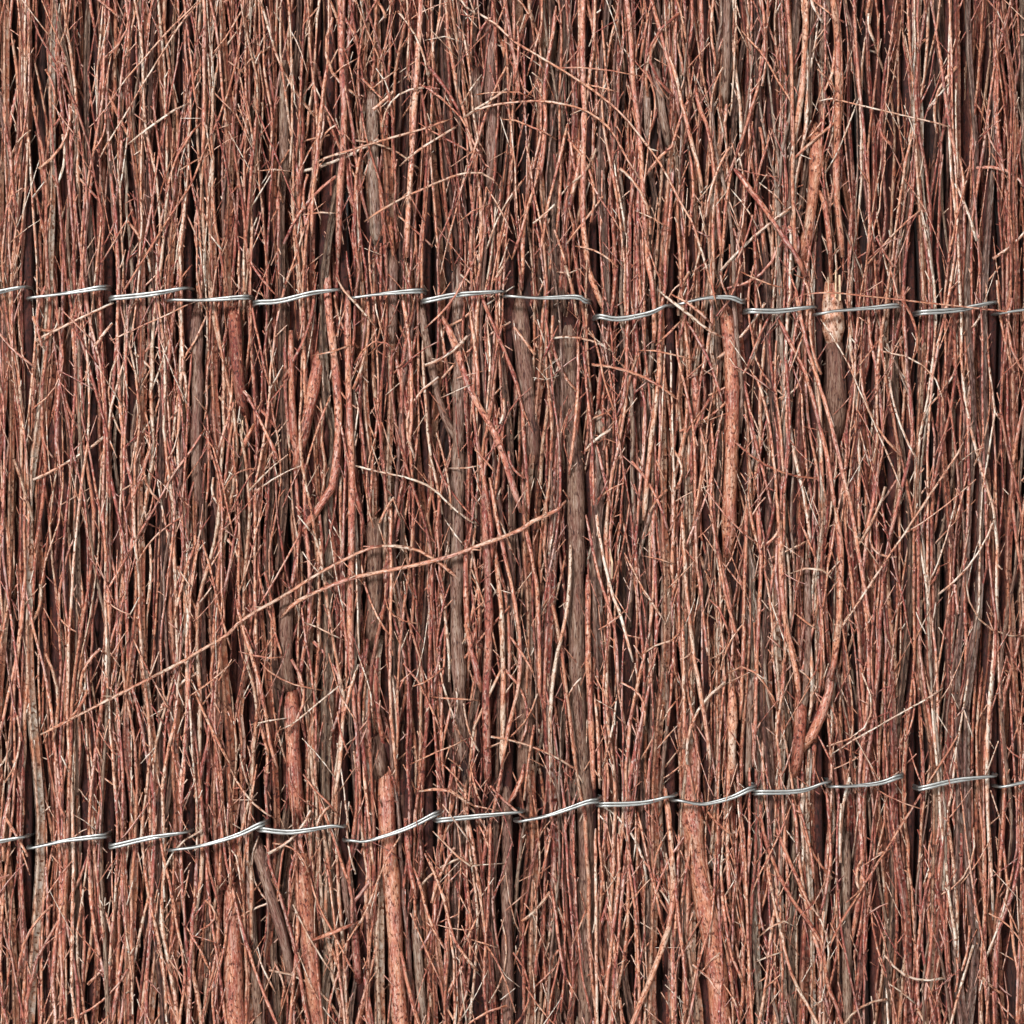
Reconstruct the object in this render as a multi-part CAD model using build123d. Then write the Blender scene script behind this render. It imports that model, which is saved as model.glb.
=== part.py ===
from build123d import *
import math
import os

# A length cut from a roll of heather screening: narrow bundles of upright stems, twined together by
# wire rows. Millimetres. X runs along the screen, -Y is its front, Z is up, and the origin is at the
# middle of the bottom edge. An even number of bundles lets lengths be laid end to end.

# The mat
BUNDLES = 26
PITCH = 15.8
HEIGHT = 1000.0
TOP_DROP = 20.0
GAP = 1.7
CROWN = 6.0
CROWN_DROP = 0.8
VALLEY = 4.5
EDGE = 3.4
RIDGES = (3, 2)
SHOULDER = 0.27
BRIDGE = 30.0
LOWER_BRIDGES = (200.0, 400.0, 300.0)
UPPER_BRIDGES = (800.0, 600.0, 700.0)

# The wire rows: how far above the bottom edge each is, and how far it sways from level
ROW_SPACING = 100.0
FIRST_ROW = 50.0
ROW_SWAY = (1.5, -3.0, 2.5, -2.0, 6.0, -1.5, 3.0, -3.5, 2.0, -2.5)
SWAY_LENGTH = 400.0
PAIR = 1.1
CLEARANCE = 0.15
CROSSING = 1.1
TAIL = 2.0

LENGTH = BUNDLES * PITCH
RUN_Y = CROWN + CLEARANCE + PAIR / 2


def spread(number):
    """A value from 0 to 1 that changes evenly from one number to the next, and is 0 at 0."""
    return (number * (math.sqrt(5) - 1) / 2) % 1


def boundary(number):
    """Where the gap before this bundle is."""
    return (number - BUNDLES / 2) * PITCH


def ridge_crown(number, ridge, ridges):
    """How far a ridge stands out. The one nearest the bundle's middle carries the wires."""
    if ridge == ridges // 2:
        return CROWN
    return CROWN - CROWN_DROP * (0.4 + 0.6 * spread(3 * number + ridge))


def side_outline(number, ridges):
    """One face of a bundle in plan, left to right: ridges, each with a flat crown and two flanks."""
    half = (PITCH - GAP) / 2
    width = 2 * half / ridges
    points = [(-half, EDGE)]
    for ridge in range(ridges):
        left = -half + ridge * width
        crown = ridge_crown(number, ridge, ridges)
        points.append((left + SHOULDER * width, crown))
        points.append((left + (1 - SHOULDER) * width, crown))
        points.append((left + width, VALLEY))
    points[-1] = (half, EDGE)
    return points


def bundle(number):
    """One bundle of stems, with its own height and its own ridges at the front and the back."""
    front = side_outline(number, RIDGES[number % 2])
    back = side_outline(number + BUNDLES, RIDGES[(number + 1) % 2])
    middle = boundary(number) + PITCH / 2
    outline = [(middle + x, -y) for x, y in front] + [(middle + x, y) for x, y in reversed(back)]
    top = HEIGHT - TOP_DROP * spread(number)
    return extrude(make_face(Polyline(*outline, close=True)), amount=top, dir=(0, 0, 1))


def bridges():
    """Where stems stray across the gaps, halfway between wire rows, and hold the bundles as one wall."""
    strays = []
    for number in range(1, BUNDLES):
        for heights in (LOWER_BRIDGES, UPPER_BRIDGES):
            middle = heights[number % len(heights)]
            strays.append(Pos(boundary(number), 0, middle) * Box(GAP, 2 * EDGE, BRIDGE))
    return strays


def heather_mat():
    """The whole mat as one wall, open in the gaps between bundles."""
    bundles = [bundle(number) for number in range(BUNDLES)]
    return bundles[0].fuse(*bundles[1:], *bridges())


def pair_points(row, first):
    """The middle line of a wire pair. It is in front of every other bundle, and behind the rest.

    A front run climbs from left to right and a back run falls, so the two pairs of a row cross in
    each gap one above the other.
    """
    level = FIRST_ROW + row * ROW_SPACING
    points = []
    for number in range(BUNDLES):
        in_front = (number + row + first) % 2 == 0
        side = -1 if in_front else 1
        for end in (0, 1):
            x = boundary(number + end)
            sway = ROW_SWAY[row] * math.sin(2 * math.pi * x / SWAY_LENGTH)
            climb = CROSSING * (2 * end - 1)
            points.append((x, side * RUN_Y, level + sway - side * climb))
    start, finish = points[0], points[-1]
    tails = [(end[0], math.copysign(TAIL, -end[1]), end[2]) for end in (start, finish)]
    return [tails[0], *points, tails[1]]


def left_of(a, b):
    """The unit vector in plan to the left of the way from a to b."""
    length = math.hypot(b[0] - a[0], b[1] - a[1])
    return (a[1] - b[1]) / length, (b[0] - a[0]) / length


def wire_pair(points):
    """A bar of square section along the points, mitred at its corners."""
    rings = []
    for i, (x, y, z) in enumerate(points):
        ways = []
        if i > 0:
            ways.append(left_of(points[i - 1], points[i]))
        if i < len(points) - 1:
            ways.append(left_of(points[i], points[i + 1]))
        dx = sum(way[0] for way in ways) * PAIR / 2
        dy = sum(way[1] for way in ways) * PAIR / 2
        low, high = z - PAIR / 2, z + PAIR / 2
        rings.append([(x - dx, y - dy, low), (x + dx, y + dy, low), (x + dx, y + dy, high), (x - dx, y - dy, high)])
    faces = [rings[0][::-1], rings[-1]]
    for a, b in zip(rings, rings[1:]):
        faces.append([a[1], a[2], b[2], b[1]])
        faces.append([a[3], a[0], b[0], b[3]])
        for p, q in ((0, 1), (2, 3)):
            if math.isclose(a[0][2], b[0][2]):
                faces.append([a[p], a[q], b[q], b[p]])
            else:
                faces.append([a[p], a[q], b[q]])
                faces.append([a[p], b[q], b[p]])
    return Solid(Shell([Face(Wire.make_polygon(face, close=True)) for face in faces]))


os.makedirs("parts", exist_ok=True)
export_step(heather_mat(), "parts/heather_mat.step")
for row in range(len(ROW_SWAY)):
    for first, letter in enumerate("ab"):
        pair = wire_pair(pair_points(row, first))
        export_step(pair, f"parts/row_{row + 1:02d}_wire_pair_{letter}.step")
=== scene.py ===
import math

import bmesh
import bpy
import numpy as np
from bpy.props import FloatProperty, FloatVectorProperty, IntProperty, PointerProperty
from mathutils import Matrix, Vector


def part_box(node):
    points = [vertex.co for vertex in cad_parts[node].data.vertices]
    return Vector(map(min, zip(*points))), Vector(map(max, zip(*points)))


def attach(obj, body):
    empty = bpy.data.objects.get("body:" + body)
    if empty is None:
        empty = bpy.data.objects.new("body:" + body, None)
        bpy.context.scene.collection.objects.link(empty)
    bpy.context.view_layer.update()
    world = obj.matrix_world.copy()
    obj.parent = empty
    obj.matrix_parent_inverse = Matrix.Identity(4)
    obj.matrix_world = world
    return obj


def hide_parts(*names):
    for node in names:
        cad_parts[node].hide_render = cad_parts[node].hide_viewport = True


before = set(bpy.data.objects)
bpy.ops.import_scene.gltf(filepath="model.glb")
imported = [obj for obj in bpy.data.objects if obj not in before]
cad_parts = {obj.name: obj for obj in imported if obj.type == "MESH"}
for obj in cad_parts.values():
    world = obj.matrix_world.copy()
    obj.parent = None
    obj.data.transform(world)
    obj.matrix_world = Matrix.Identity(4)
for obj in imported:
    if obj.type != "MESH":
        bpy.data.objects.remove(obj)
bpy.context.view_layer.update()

bl_info = {
    "name": "Heather Screen",
    "version": (1, 0, 0),
    "blender": (4, 5, 0),
    "location": "3D View > Sidebar > Heather",
    "description": "Makes the stems, side shoots and wire rows of a heather screen",
    "category": "Add Mesh",
}

# The mat and its rows, as in the frame. X runs along the screen and -Y is its front.
MM = 0.001
MAT_LOW, MAT_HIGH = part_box("heather_mat")
HEIGHT = MAT_HIGH.z
TOP_DROP = 20 * MM
PITCH = 15.8 * MM
BUNDLES = round((MAT_HIGH.x - MAT_LOW.x) / PITCH)
ROWS = sum(name.endswith("_wire_pair_a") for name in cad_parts)
FIRST_ROW = 50 * MM
ROW_SPACING = 100 * MM
ROW_SWAY = np.array([1.5, -3.0, 2.5, -2.0, 6.0, -1.5, 3.0, -3.5, 2.0, -2.5]) * MM
SWAY_LENGTH = 400 * MM
CROSSING = 1.1 * MM
WIRE_Y = 6.7 * MM

# How far stems reach from the middle plane, at a wire row and halfway between two
WAIST = 6.0 * MM
BELLY = 7.6 * MM
PINCH_LENGTH = 23 * MM

# How far loose ends stand out of the face and over the top
LOOSE = 4 * MM
LOOSE_TOP = 6 * MM

# The rendered frame is a window on the screen. Pixels count right and down from its corner. What the
# photograph shows of the screen lies from PHOTO_LEFT to PHOTO_RIGHT.
PIXELS = 1024
PIXEL = 200 * MM / PIXELS
PHOTO_LEFT = 172
PHOTO_RIGHT = 852
WINDOW_HEIGHT = 508.6 * MM
WINDOW_MARGIN = 8 * MM
LENS = 100
SENSOR = 36


def at_pixel(x, y):
    """Where a pixel of the frame is on the screen's face, as x and z."""
    return (x - PIXELS / 2) * PIXEL, WINDOW_HEIGHT - (y - PIXELS / 2) * PIXEL


# What the camera sees, with a margin, and what the photograph shows of it
SEEN_X = (at_pixel(0, 0)[0] - WINDOW_MARGIN, at_pixel(PIXELS, 0)[0] + WINDOW_MARGIN)
SEEN_Z = (at_pixel(0, PIXELS)[1] - WINDOW_MARGIN, at_pixel(0, 0)[1] + WINDOW_MARGIN)
PHOTO_X = (at_pixel(PHOTO_LEFT, 0)[0], at_pixel(PHOTO_RIGHT, 0)[0])

# Where the gaps between bundles are in the photograph, from the gap before bundle 10 on. Bundles
# are counted from 0.
FIRST_SEEN_GAP = 10
SEEN_GAPS = (257, 345, 430, 512, 595, 674, 750, 823)

# The stitches of the two wire rows in the photograph, each from its start to its end
FIRST_SEEN_STITCH = 9
UPPER_STITCHES = (
    ((168, 300), (205, 300), (251, 297)),
    ((252, 303), (280, 301), (312, 293), (340, 289.5)),
    ((349, 298), (380, 294), (424.6, 290.5)),
    ((421, 301), (455, 295), (504, 291)),
    ((504, 296), (540, 298), (577, 297), (591, 301)),
    ((594, 317), (620, 319), (650, 313), (672, 305)),
    ((675, 304), (705, 298), (731, 297.5), (746, 301)),
    ((745, 311), (780, 311), (815.5, 307)),
    ((815.5, 314), (835, 311), (870, 308), (902, 305)),
)
LOWER_STITCHES = (
    ((168, 851), (200, 846), (235, 836), (267, 823)),
    ((257, 830), (293, 832), (332, 826), (345.5, 827)),
    ((344, 841.5), (367, 841), (405, 829), (441, 813)),
    ((434, 820.5), (470, 817), (523, 812)),
    ((516, 822), (550, 815), (586, 802.5), (601, 800)),
    ((597, 805), (642, 803), (676, 796)),
    ((672.5, 801), (703, 804), (730, 798), (757, 788)),
    ((753, 793), (800, 791), (831, 782)),
    ((829, 787), (852, 786), (880, 783), (905, 776)),
)
LOWER_SEEN_ROW = 4
UPPER_SEEN_ROW = 5

# Stems that show in the photograph. Each is its width and then the places it passes, in pixels.
# These lie over the wires and over the other stems.
STRAYS = (
    (5, 170, 668, 192, 656, 210, 645, 226, 636, 240, 622, 252, 614, 268, 605, 290, 592, 310, 579, 330, 567,
     350, 557, 365, 550, 380, 546, 395, 546, 405, 547, 420, 551, 432, 558, 446, 568, 460, 581),
    (6, 281, 618, 290, 607, 300, 600, 320, 590, 340, 582, 360, 576, 380, 572, 400, 568, 420, 564, 440, 559,
     460, 553, 480, 545, 500, 538, 520, 530, 535, 520, 555, 511, 566, 501),
    (4, 313, 163, 320, 160, 350, 151, 389, 139, 425, 129, 452, 118),
    (4, 463, 118, 480, 109, 512, 103, 544, 102, 577, 108, 595, 117, 610, 130, 620, 147, 627, 160, 642,
     182),
    (4, 475, 10, 500, 28, 512, 41, 548, 62, 580, 82, 600, 96, 622, 115, 640, 137, 660, 165, 680, 202, 690,
     220, 697, 238, 707, 271, 714, 293),
    (4, 364, 221, 400, 200, 420, 191, 440, 182, 458, 175, 473, 173, 485, 175, 495, 181, 502, 188),
    (7, 733, 167, 748, 188, 760, 204, 772, 221, 784, 240, 794, 254, 805, 275),
    (5, 672, 294, 690, 305, 705, 318, 714, 325),
    (5, 658, 289, 668, 299, 680, 308, 700, 324, 712, 333, 723, 337),
    (4, 352, 465, 385, 473, 405, 477, 420, 482, 432, 488, 442, 497, 453, 508, 466, 518, 478, 526),
    (3, 238, 652, 250, 654, 262, 657, 275, 658, 287, 657),
    (4, 303, 775, 313, 787, 323, 797, 331, 805, 338, 816),
    (3, 278, 731, 292, 724, 305, 714, 318, 703, 332, 692, 346, 678),
    (4, 230, 770, 245, 792, 256, 805, 276, 820),
    (3, 258, 660, 268, 670, 278, 677, 290, 683, 303, 686, 315, 689, 323, 691),
    (3, 178, 670, 186, 680, 193, 690), (3, 302, 622, 315, 626, 327, 632, 338, 637, 345, 641),
    (3, 297, 564, 305, 560, 320, 558), (4, 425, 328, 440, 315, 450, 304, 458, 292, 466, 275, 476, 256),
    (4, 336, 277, 345, 292, 352, 299, 377, 328), (4, 312, 355, 325, 354, 338, 350, 352, 344),
    (3, 354, 363, 360, 353, 372, 343, 381, 340, 398, 352),
    (5, 418, 792, 428, 790, 440, 788, 450, 790, 460, 796, 468, 803, 476, 808),
    (3, 594, 167, 607, 158, 613, 157), (4, 790, 574, 800, 569, 810, 568, 820, 569, 828, 573, 834, 580),
    (3, 644, 556, 655, 559, 668, 560, 677, 565), (6, 309, 942, 320, 937, 335, 931, 350, 925, 360, 922),
    (3, 708, 661, 716, 655, 726, 650, 730, 640), (4, 310, 878, 318, 902, 330, 926, 340, 944, 355, 975),
    (3, 410, 765, 425, 757, 440, 750, 455, 745, 467, 739),
    (4, 402, 834, 388, 855, 379, 878, 371, 898, 364, 915, 356, 928, 346, 943),
    (3, 640, 350, 655, 351, 695, 360), (4, 759, 938, 768, 928, 776, 922, 782, 920, 790, 923, 797, 928),
    (3, 753, 964, 765, 957, 778, 953, 788, 951),
    (4, 433, 832, 440, 838, 450, 848, 460, 858, 470, 865, 480, 867, 487, 865),
    (4, 481, 910, 472, 928, 462, 948), (3, 430, 697, 445, 698, 465, 699, 480, 701),
    (3, 594, 632, 605, 626, 615, 620, 629, 607), (4, 712, 254, 710, 275, 714, 295, 718, 310),
    (3, 741, 271, 752, 277, 765, 284, 788, 288), (3, 803, 294, 820, 293, 835, 293, 853, 295),
    (3, 821, 318, 830, 335, 840, 350, 853, 376), (3, 704, 422, 715, 419, 727, 413),
    (4, 640, 656, 655, 645, 672, 640, 684, 628),
    (4, 728, 674, 742, 666, 752, 670, 762, 680, 770, 692, 778, 710), (3, 765, 630, 774, 635, 784, 641),
    (3, 250, 725, 262, 721, 278, 720, 290, 718), (3, 185, 699, 196, 692, 210, 682, 222, 672, 234, 660),
    (4, 400, 165, 414, 154, 430, 143, 446, 134, 458, 124),
    (4, 463, 117, 480, 107, 495, 98, 506, 90, 512, 84), (3, 208, 58, 222, 44, 232, 28, 240, 14, 246, 2),
    (3, 212, 90, 222, 101, 236, 114), (3, 258, 170, 275, 170, 292, 171),
    (3, 474, 94, 500, 93, 525, 93, 532, 97), (4, 656, 345, 670, 332, 684, 318),
    (3, 500, 118, 515, 121, 530, 127, 545, 133, 557, 139), (3, 457, 223, 470, 213, 482, 207, 490, 203),
    (3, 630, 123, 636, 131), (3, 636, 210, 650, 217, 660, 223, 670, 228),
    (3, 680, 697, 670, 708, 661, 726), (3, 593, 434, 603, 438, 612, 442, 620, 444),
    (3, 446, 468, 465, 468, 480, 468, 487, 464), (4, 524, 904, 531, 912, 537, 919),
    (3, 519, 882, 527, 878, 534, 875), (4, 753, 988, 760, 982, 768, 977),
    (3, 644, 808, 652, 820, 663, 832), (3, 562, 645, 570, 655, 577, 663),
    (3, 469, 940, 480, 941, 498, 949),
)
# Orange stems and twigs at the face
ORANGE = (
    (20, 689, 690, 691, 725, 692, 762, 692, 800, 697, 850, 704, 895, 713, 940, 720, 1000, 722, 1024),
    (13, 727, 300, 731, 345, 733, 400, 732, 450, 730, 500, 729, 560),
    (4, 184, 0, 186, 18, 191, 60, 194, 92, 197, 108), (6, 204, 0, 204, 60, 204, 120, 202, 160),
    (4, 210, 0, 216, 28, 220, 60, 222, 90, 227, 120),
    (4, 262, 0, 264, 28, 264, 62, 267, 90, 272, 115, 269, 160),
    (4, 288, 0, 291, 40, 292, 90, 292, 130, 289, 170), (5, 246, 235, 250, 180, 254, 140, 257, 110),
    (3, 257, 110, 265, 130, 278, 160, 290, 190, 300, 218),
    (8, 340, 0, 341, 50, 344, 100, 343, 150, 340, 180, 338, 240, 337, 256),
    (6, 328, 60, 322, 100, 317, 150, 313, 190, 311, 235),
    (4, 377, 0, 366, 20, 360, 50, 358, 80, 361, 110, 368, 145, 378, 175, 384, 200),
    (4, 172, 212, 190, 184, 203, 152, 214, 128, 227, 95, 236, 60, 242, 30),
    (4, 172, 168, 186, 142, 200, 122), (4, 188, 104, 193, 84, 203, 58), (3, 300, 214, 320, 212, 342, 213),
    (4, 296, 160, 299, 120, 301, 80, 303, 50),
    (7, 421, 0, 419, 30, 417, 70, 413, 130, 410, 180, 408, 210, 406, 256), (4, 407, 0, 409, 30, 407, 70),
    (4, 463, 30, 466, 50, 470, 75, 475, 125, 481, 150), (5, 419, 60, 430, 68, 441, 82, 452, 98, 462, 118),
    (4, 416, 82, 430, 90, 446, 102, 462, 119, 468, 130, 475, 145, 482, 158, 486, 167),
    (3, 418, 122, 430, 130, 445, 138, 460, 146, 476, 156),
    (6, 505, 0, 508, 20, 511, 40, 515, 60, 520, 100), (4, 542, 0, 540, 30, 533, 55, 527, 75),
    (6, 556, 5, 553, 30, 549, 55, 545, 80, 544, 100, 546, 125, 540, 180),
    (4, 516, 60, 520, 80, 527, 92, 537, 98),
    (7, 583, 0, 582, 30, 583, 70, 584, 110, 583, 190, 584, 230, 590, 270),
    (4, 602, 20, 604, 50, 606, 75, 609, 95, 611, 115),
    (5, 567, 125, 563, 145, 558, 165, 548, 205, 540, 256),
    (5, 547, 110, 542, 150, 537, 175, 530, 200, 523, 225, 512, 258), (5, 568, 130, 571, 145, 577, 180),
    (4, 526, 140, 529, 160, 532, 180, 535, 200, 540, 220, 544, 240),
    (4, 588, 177, 597, 192, 608, 210, 622, 232),
    (7, 627, 0, 630, 30, 633, 80, 636, 105, 639, 130, 643, 190, 648, 256, 654, 295, 655, 342),
    (6, 651, 0, 657, 20, 662, 40, 668, 60, 673, 80, 680, 118),
    (6, 667, 50, 677, 80, 681, 100, 690, 135, 694, 150, 699, 170, 703, 190),
    (5, 693, 92, 684, 108, 676, 132, 671, 148, 660, 157, 650, 168, 643, 179),
    (5, 692, 0, 691, 30, 689, 50), (4, 676, 0, 681, 15, 687, 45), (6, 701, 0, 702, 30, 702, 60),
    (5, 713, 0, 711, 30, 716, 70), (4, 736, 0, 735, 40, 733, 80, 731, 115),
    (5, 762, 0, 764, 30, 764, 55, 760, 75, 757, 90, 748, 120, 738, 150, 731, 170, 724, 185),
    (6, 696, 85, 699, 105, 708, 130, 715, 175, 722, 256),
    (4, 742, 30, 753, 45, 762, 55, 770, 68, 777, 80, 794, 107),
    (5, 733, 165, 728, 190, 725, 215, 723, 256),
    (6, 787, 0, 790, 40, 792, 100, 793, 140, 793, 180, 794, 215, 797, 262), (4, 820, 0, 820, 15, 808, 38),
    (8, 806, 0, 805, 40, 803, 80, 800, 105, 795, 140),
    (8, 833, 0, 836, 25, 838, 50, 838, 100, 837, 190, 844, 256), (5, 836, 40, 833, 70, 826, 88, 818, 102),
    (12, 816, 120, 818, 150, 816, 175, 812, 210, 804, 262), (7, 820, 190, 826, 210, 832, 258),
    (4, 770, 130, 767, 145, 762, 160, 754, 192), (3, 773, 130, 786, 165, 788, 200),
    (5, 690, 150, 693, 180, 692, 205, 690, 235), (3, 688, 225, 700, 231, 711, 238, 720, 240),
    (12, 231, 298, 234, 330, 236, 360, 239, 390, 244, 418), (7, 253, 424, 246, 440, 240, 455),
    (4, 238, 245, 238, 300), (5, 243, 245, 243, 300), (4, 191, 350, 188, 400, 186, 450, 181, 520),
    (4, 172, 477, 184, 460, 195, 444, 204, 428),
    (4, 204, 436, 212, 446, 216, 460, 222, 480, 227, 505, 233, 535), (4, 178, 366, 197, 335, 206, 312),
    (4, 250, 300, 254, 320, 261, 355, 270, 390), (4, 246, 254, 262, 280, 279, 298),
    (5, 238, 385, 250, 400, 262, 425, 270, 440, 279, 462),
    (5, 283, 380, 296, 355, 305, 335, 312, 310, 315, 280),
    (12, 318, 345, 316, 370, 311, 395, 305, 425, 299, 448, 294, 475),
    (8, 290, 330, 291, 380, 293, 430, 297, 460),
    (9, 325, 262, 328, 310, 333, 350, 337, 390, 338, 420, 336, 460, 331, 490, 318, 508, 300, 535),
    (8, 347, 290, 347, 340, 348, 380, 350, 430, 352, 480, 351, 560, 350, 620, 352, 682),
    (4, 338, 410, 346, 450, 354, 480, 357, 505), (4, 345, 250, 350, 280, 352, 296),
    (4, 373, 398, 381, 435, 386, 500), (4, 330, 395, 322, 418, 312, 445, 305, 470),
    (8, 439, 312, 450, 332, 457, 350, 463, 370, 470, 390, 480, 408, 490, 425, 498, 440, 505, 460, 511, 480,
     521, 512),
    (6, 480, 290, 487, 310, 502, 345, 510, 365, 517, 385, 521, 400, 525, 450, 527, 480, 529, 514),
    (6, 402, 290, 406, 320, 410, 350, 412, 390, 411, 420, 409, 450),
    (5, 422, 340, 424, 380, 427, 420, 430, 450, 436, 480, 442, 514),
    (4, 430, 445, 445, 482, 468, 512, 480, 525), (6, 470, 310, 474, 340, 477, 370, 479, 400),
    (5, 489, 287, 497, 275, 509, 254), (4, 558, 325, 547, 350, 543, 360),
    (5, 579, 340, 577, 400, 574, 430, 569, 475), (5, 583, 345, 586, 375, 589, 410, 592, 440, 594, 514),
    (7, 588, 262, 594, 285, 606, 313), (4, 592, 330, 598, 350, 607, 390, 617, 415),
    (5, 596, 440, 605, 480, 612, 512), (3, 605, 312, 615, 306, 626, 300),
    (5, 627, 250, 628, 300, 627, 340, 625, 390, 617, 415),
    (5, 686, 318, 695, 333, 703, 347, 711, 365, 724, 403),
    (7, 661, 345, 659, 375, 655, 410, 648, 470, 644, 520),
    (5, 677, 330, 679, 360, 686, 390, 692, 420, 695, 450, 696, 550, 703, 610, 708, 656),
    (9, 695, 365, 698, 425), (5, 711, 420, 713, 450, 711, 510, 718, 550, 724, 590, 731, 615, 738, 645),
    (4, 787, 262, 800, 300, 803, 322), (6, 797, 290, 804, 330, 812, 360, 828, 410, 842, 470, 853, 520),
    (6, 778, 315, 785, 330, 797, 355, 808, 378, 820, 425, 826, 450, 836, 512),
    (5, 752, 370, 760, 385, 770, 430, 776, 490, 780, 545), (5, 745, 380, 756, 440, 773, 512),
    (5, 785, 350, 789, 390, 790, 430, 784, 500), (3, 803, 426, 815, 428, 829, 432),
    (4, 202, 540, 208, 560, 214, 585, 220, 610, 231, 650),
    (6, 236, 600, 245, 635, 258, 675, 263, 700, 270, 745, 277, 770),
    (4, 257, 560, 262, 590, 270, 615, 277, 640, 283, 662), (4, 200, 540, 192, 580, 190, 640, 194, 680),
    (5, 196, 540, 186, 570, 178, 600, 172, 625), (5, 195, 694, 205, 715, 213, 733, 222, 750, 232, 770),
    (4, 301, 605, 306, 640, 311, 670, 315, 710, 316, 762),
    (6, 358, 665, 350, 690, 343, 720, 339, 768, 333, 800),
    (4, 360, 560, 365, 585, 374, 610, 384, 628, 393, 640), (5, 391, 500, 391, 590, 390, 690, 395, 770),
    (7, 466, 540, 466, 600, 469, 640, 476, 668, 481, 692),
    (9, 484, 480, 486, 540, 489, 620, 486, 700, 488, 790), (7, 496, 560, 501, 610, 503, 690, 502, 770),
    (6, 490, 478, 499, 530, 508, 570, 514, 600, 520, 640, 518, 685, 508, 730, 501, 770),
    (5, 504, 664, 494, 685, 483, 708, 474, 730, 469, 770),
    (6, 523, 515, 530, 550, 537, 590, 539, 640, 540, 700),
    (6, 571, 545, 568, 600, 562, 635, 556, 660, 552, 690, 550, 730, 552, 770),
    (7, 588, 575, 588, 660, 590, 700, 592, 745, 594, 790),
    (5, 586, 515, 593, 550, 600, 580, 608, 605, 616, 640, 618, 690), (5, 594, 690, 598, 730, 600, 790),
    (4, 400, 660, 410, 672, 420, 685, 434, 715, 441, 733), (4, 438, 655, 442, 680, 449, 705, 462, 742),
    (4, 450, 585, 443, 605, 437, 640, 438, 660),
    (6, 682, 512, 686, 580, 690, 620, 694, 655, 700, 690, 706, 725, 711, 765),
    (4, 708, 598, 719, 608, 731, 638), (6, 747, 505, 745, 560, 744, 610, 743, 660, 741, 720),
    (6, 757, 505, 761, 560, 759, 610, 757, 670, 754, 768),
    (7, 779, 510, 781, 560, 783, 600, 788, 635, 795, 665, 801, 700), (12, 802, 690, 801, 730, 796, 784),
    (8, 836, 508, 841, 555, 840, 590, 839, 620, 836, 650, 832, 680),
    (11, 834, 670, 828, 700, 820, 720, 812, 738, 802, 755), (4, 800, 520, 808, 540, 820, 567),
    (4, 795, 613, 803, 620, 821, 632), (9, 731, 675, 733, 710, 732, 790),
    (4, 727, 670, 722, 710, 719, 780, 718, 860), (6, 683, 620, 684, 690, 685, 750),
    (18, 230, 880, 231, 920, 233, 1000, 235, 1024), (14, 290, 690, 293, 770, 297, 825),
    (16, 297, 845, 301, 880, 307, 930, 312, 980, 317, 1024),
    (15, 384, 765, 386, 820, 390, 870, 394, 930, 400, 1024),
    (5, 229, 880, 238, 915, 250, 955, 263, 992, 277, 1024), (5, 215, 768, 218, 800, 222, 840, 231, 890),
    (5, 172, 900, 182, 955, 184, 980, 179, 1024), (5, 205, 862, 210, 915, 217, 960, 224, 1010, 226, 1024),
    (4, 184, 925, 203, 955, 211, 975), (4, 216, 960, 206, 1000, 202, 1024),
    (4, 256, 765, 248, 825, 248, 870), (5, 318, 800, 327, 822, 334, 842, 342, 865, 352, 894),
    (4, 323, 860, 329, 880, 334, 920, 345, 1024), (9, 353, 925, 356, 955, 358, 990),
    (5, 362, 765, 368, 815, 373, 870), (4, 290, 900, 290, 870, 298, 846),
    (4, 285, 840, 281, 860, 276, 905), (5, 596, 830, 596, 900, 597, 1024),
    (6, 619, 835, 618, 890, 613, 930, 609, 965, 603, 1024),
    (4, 574, 800, 574, 850, 577, 920, 582, 975, 592, 1018), (4, 470, 765, 478, 798, 483, 808),
    (4, 600, 800, 599, 840, 605, 895), (5, 424, 855, 435, 875, 444, 900, 450, 925, 457, 945, 478, 972),
    (5, 413, 868, 420, 885, 431, 925, 448, 955), (7, 405, 820, 408, 860, 416, 900),
    (4, 449, 920, 454, 970, 454, 1024), (5, 490, 820, 490, 860, 488, 900, 484, 980, 488, 1024),
    (6, 400, 950, 408, 985, 419, 1024), (4, 475, 820, 488, 842, 490, 855, 488, 866),
    (7, 525, 765, 519, 788, 508, 806), (4, 556, 805, 547, 850, 541, 880),
    (5, 552, 890, 561, 955, 568, 985), (4, 562, 950, 550, 1000, 548, 1024),
    (7, 666, 790, 670, 830, 673, 870, 672, 905, 666, 935, 648, 985, 632, 1024),
    (6, 674, 870, 679, 920, 685, 975, 688, 1010), (5, 628, 860, 637, 930, 640, 1024),
    (4, 638, 812, 648, 860, 662, 925), (4, 640, 855, 652, 873, 668, 898),
    (4, 717, 855, 712, 915, 700, 960, 687, 1024), (6, 729, 765, 728, 840, 730, 900),
    (6, 759, 795, 765, 835, 775, 865, 788, 892, 802, 913, 822, 945, 828, 985, 842, 1024),
    (6, 775, 825, 785, 850, 795, 873, 815, 918), (6, 768, 850, 770, 880, 781, 930, 793, 978, 818, 1024),
    (5, 793, 795, 797, 830, 798, 857), (5, 742, 815, 745, 850, 748, 950, 752, 1024),
    (5, 750, 765, 750, 830, 748, 900), (5, 827, 790, 831, 840, 830, 870, 820, 918),
    (4, 840, 790, 837, 860, 840, 920, 853, 990), (4, 720, 834, 733, 860, 738, 872),
    (5, 722, 895, 730, 950, 744, 982), (4, 829, 950, 837, 930, 853, 903),
    (3, 793, 805, 775, 845, 757, 880, 751, 898),
)
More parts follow.
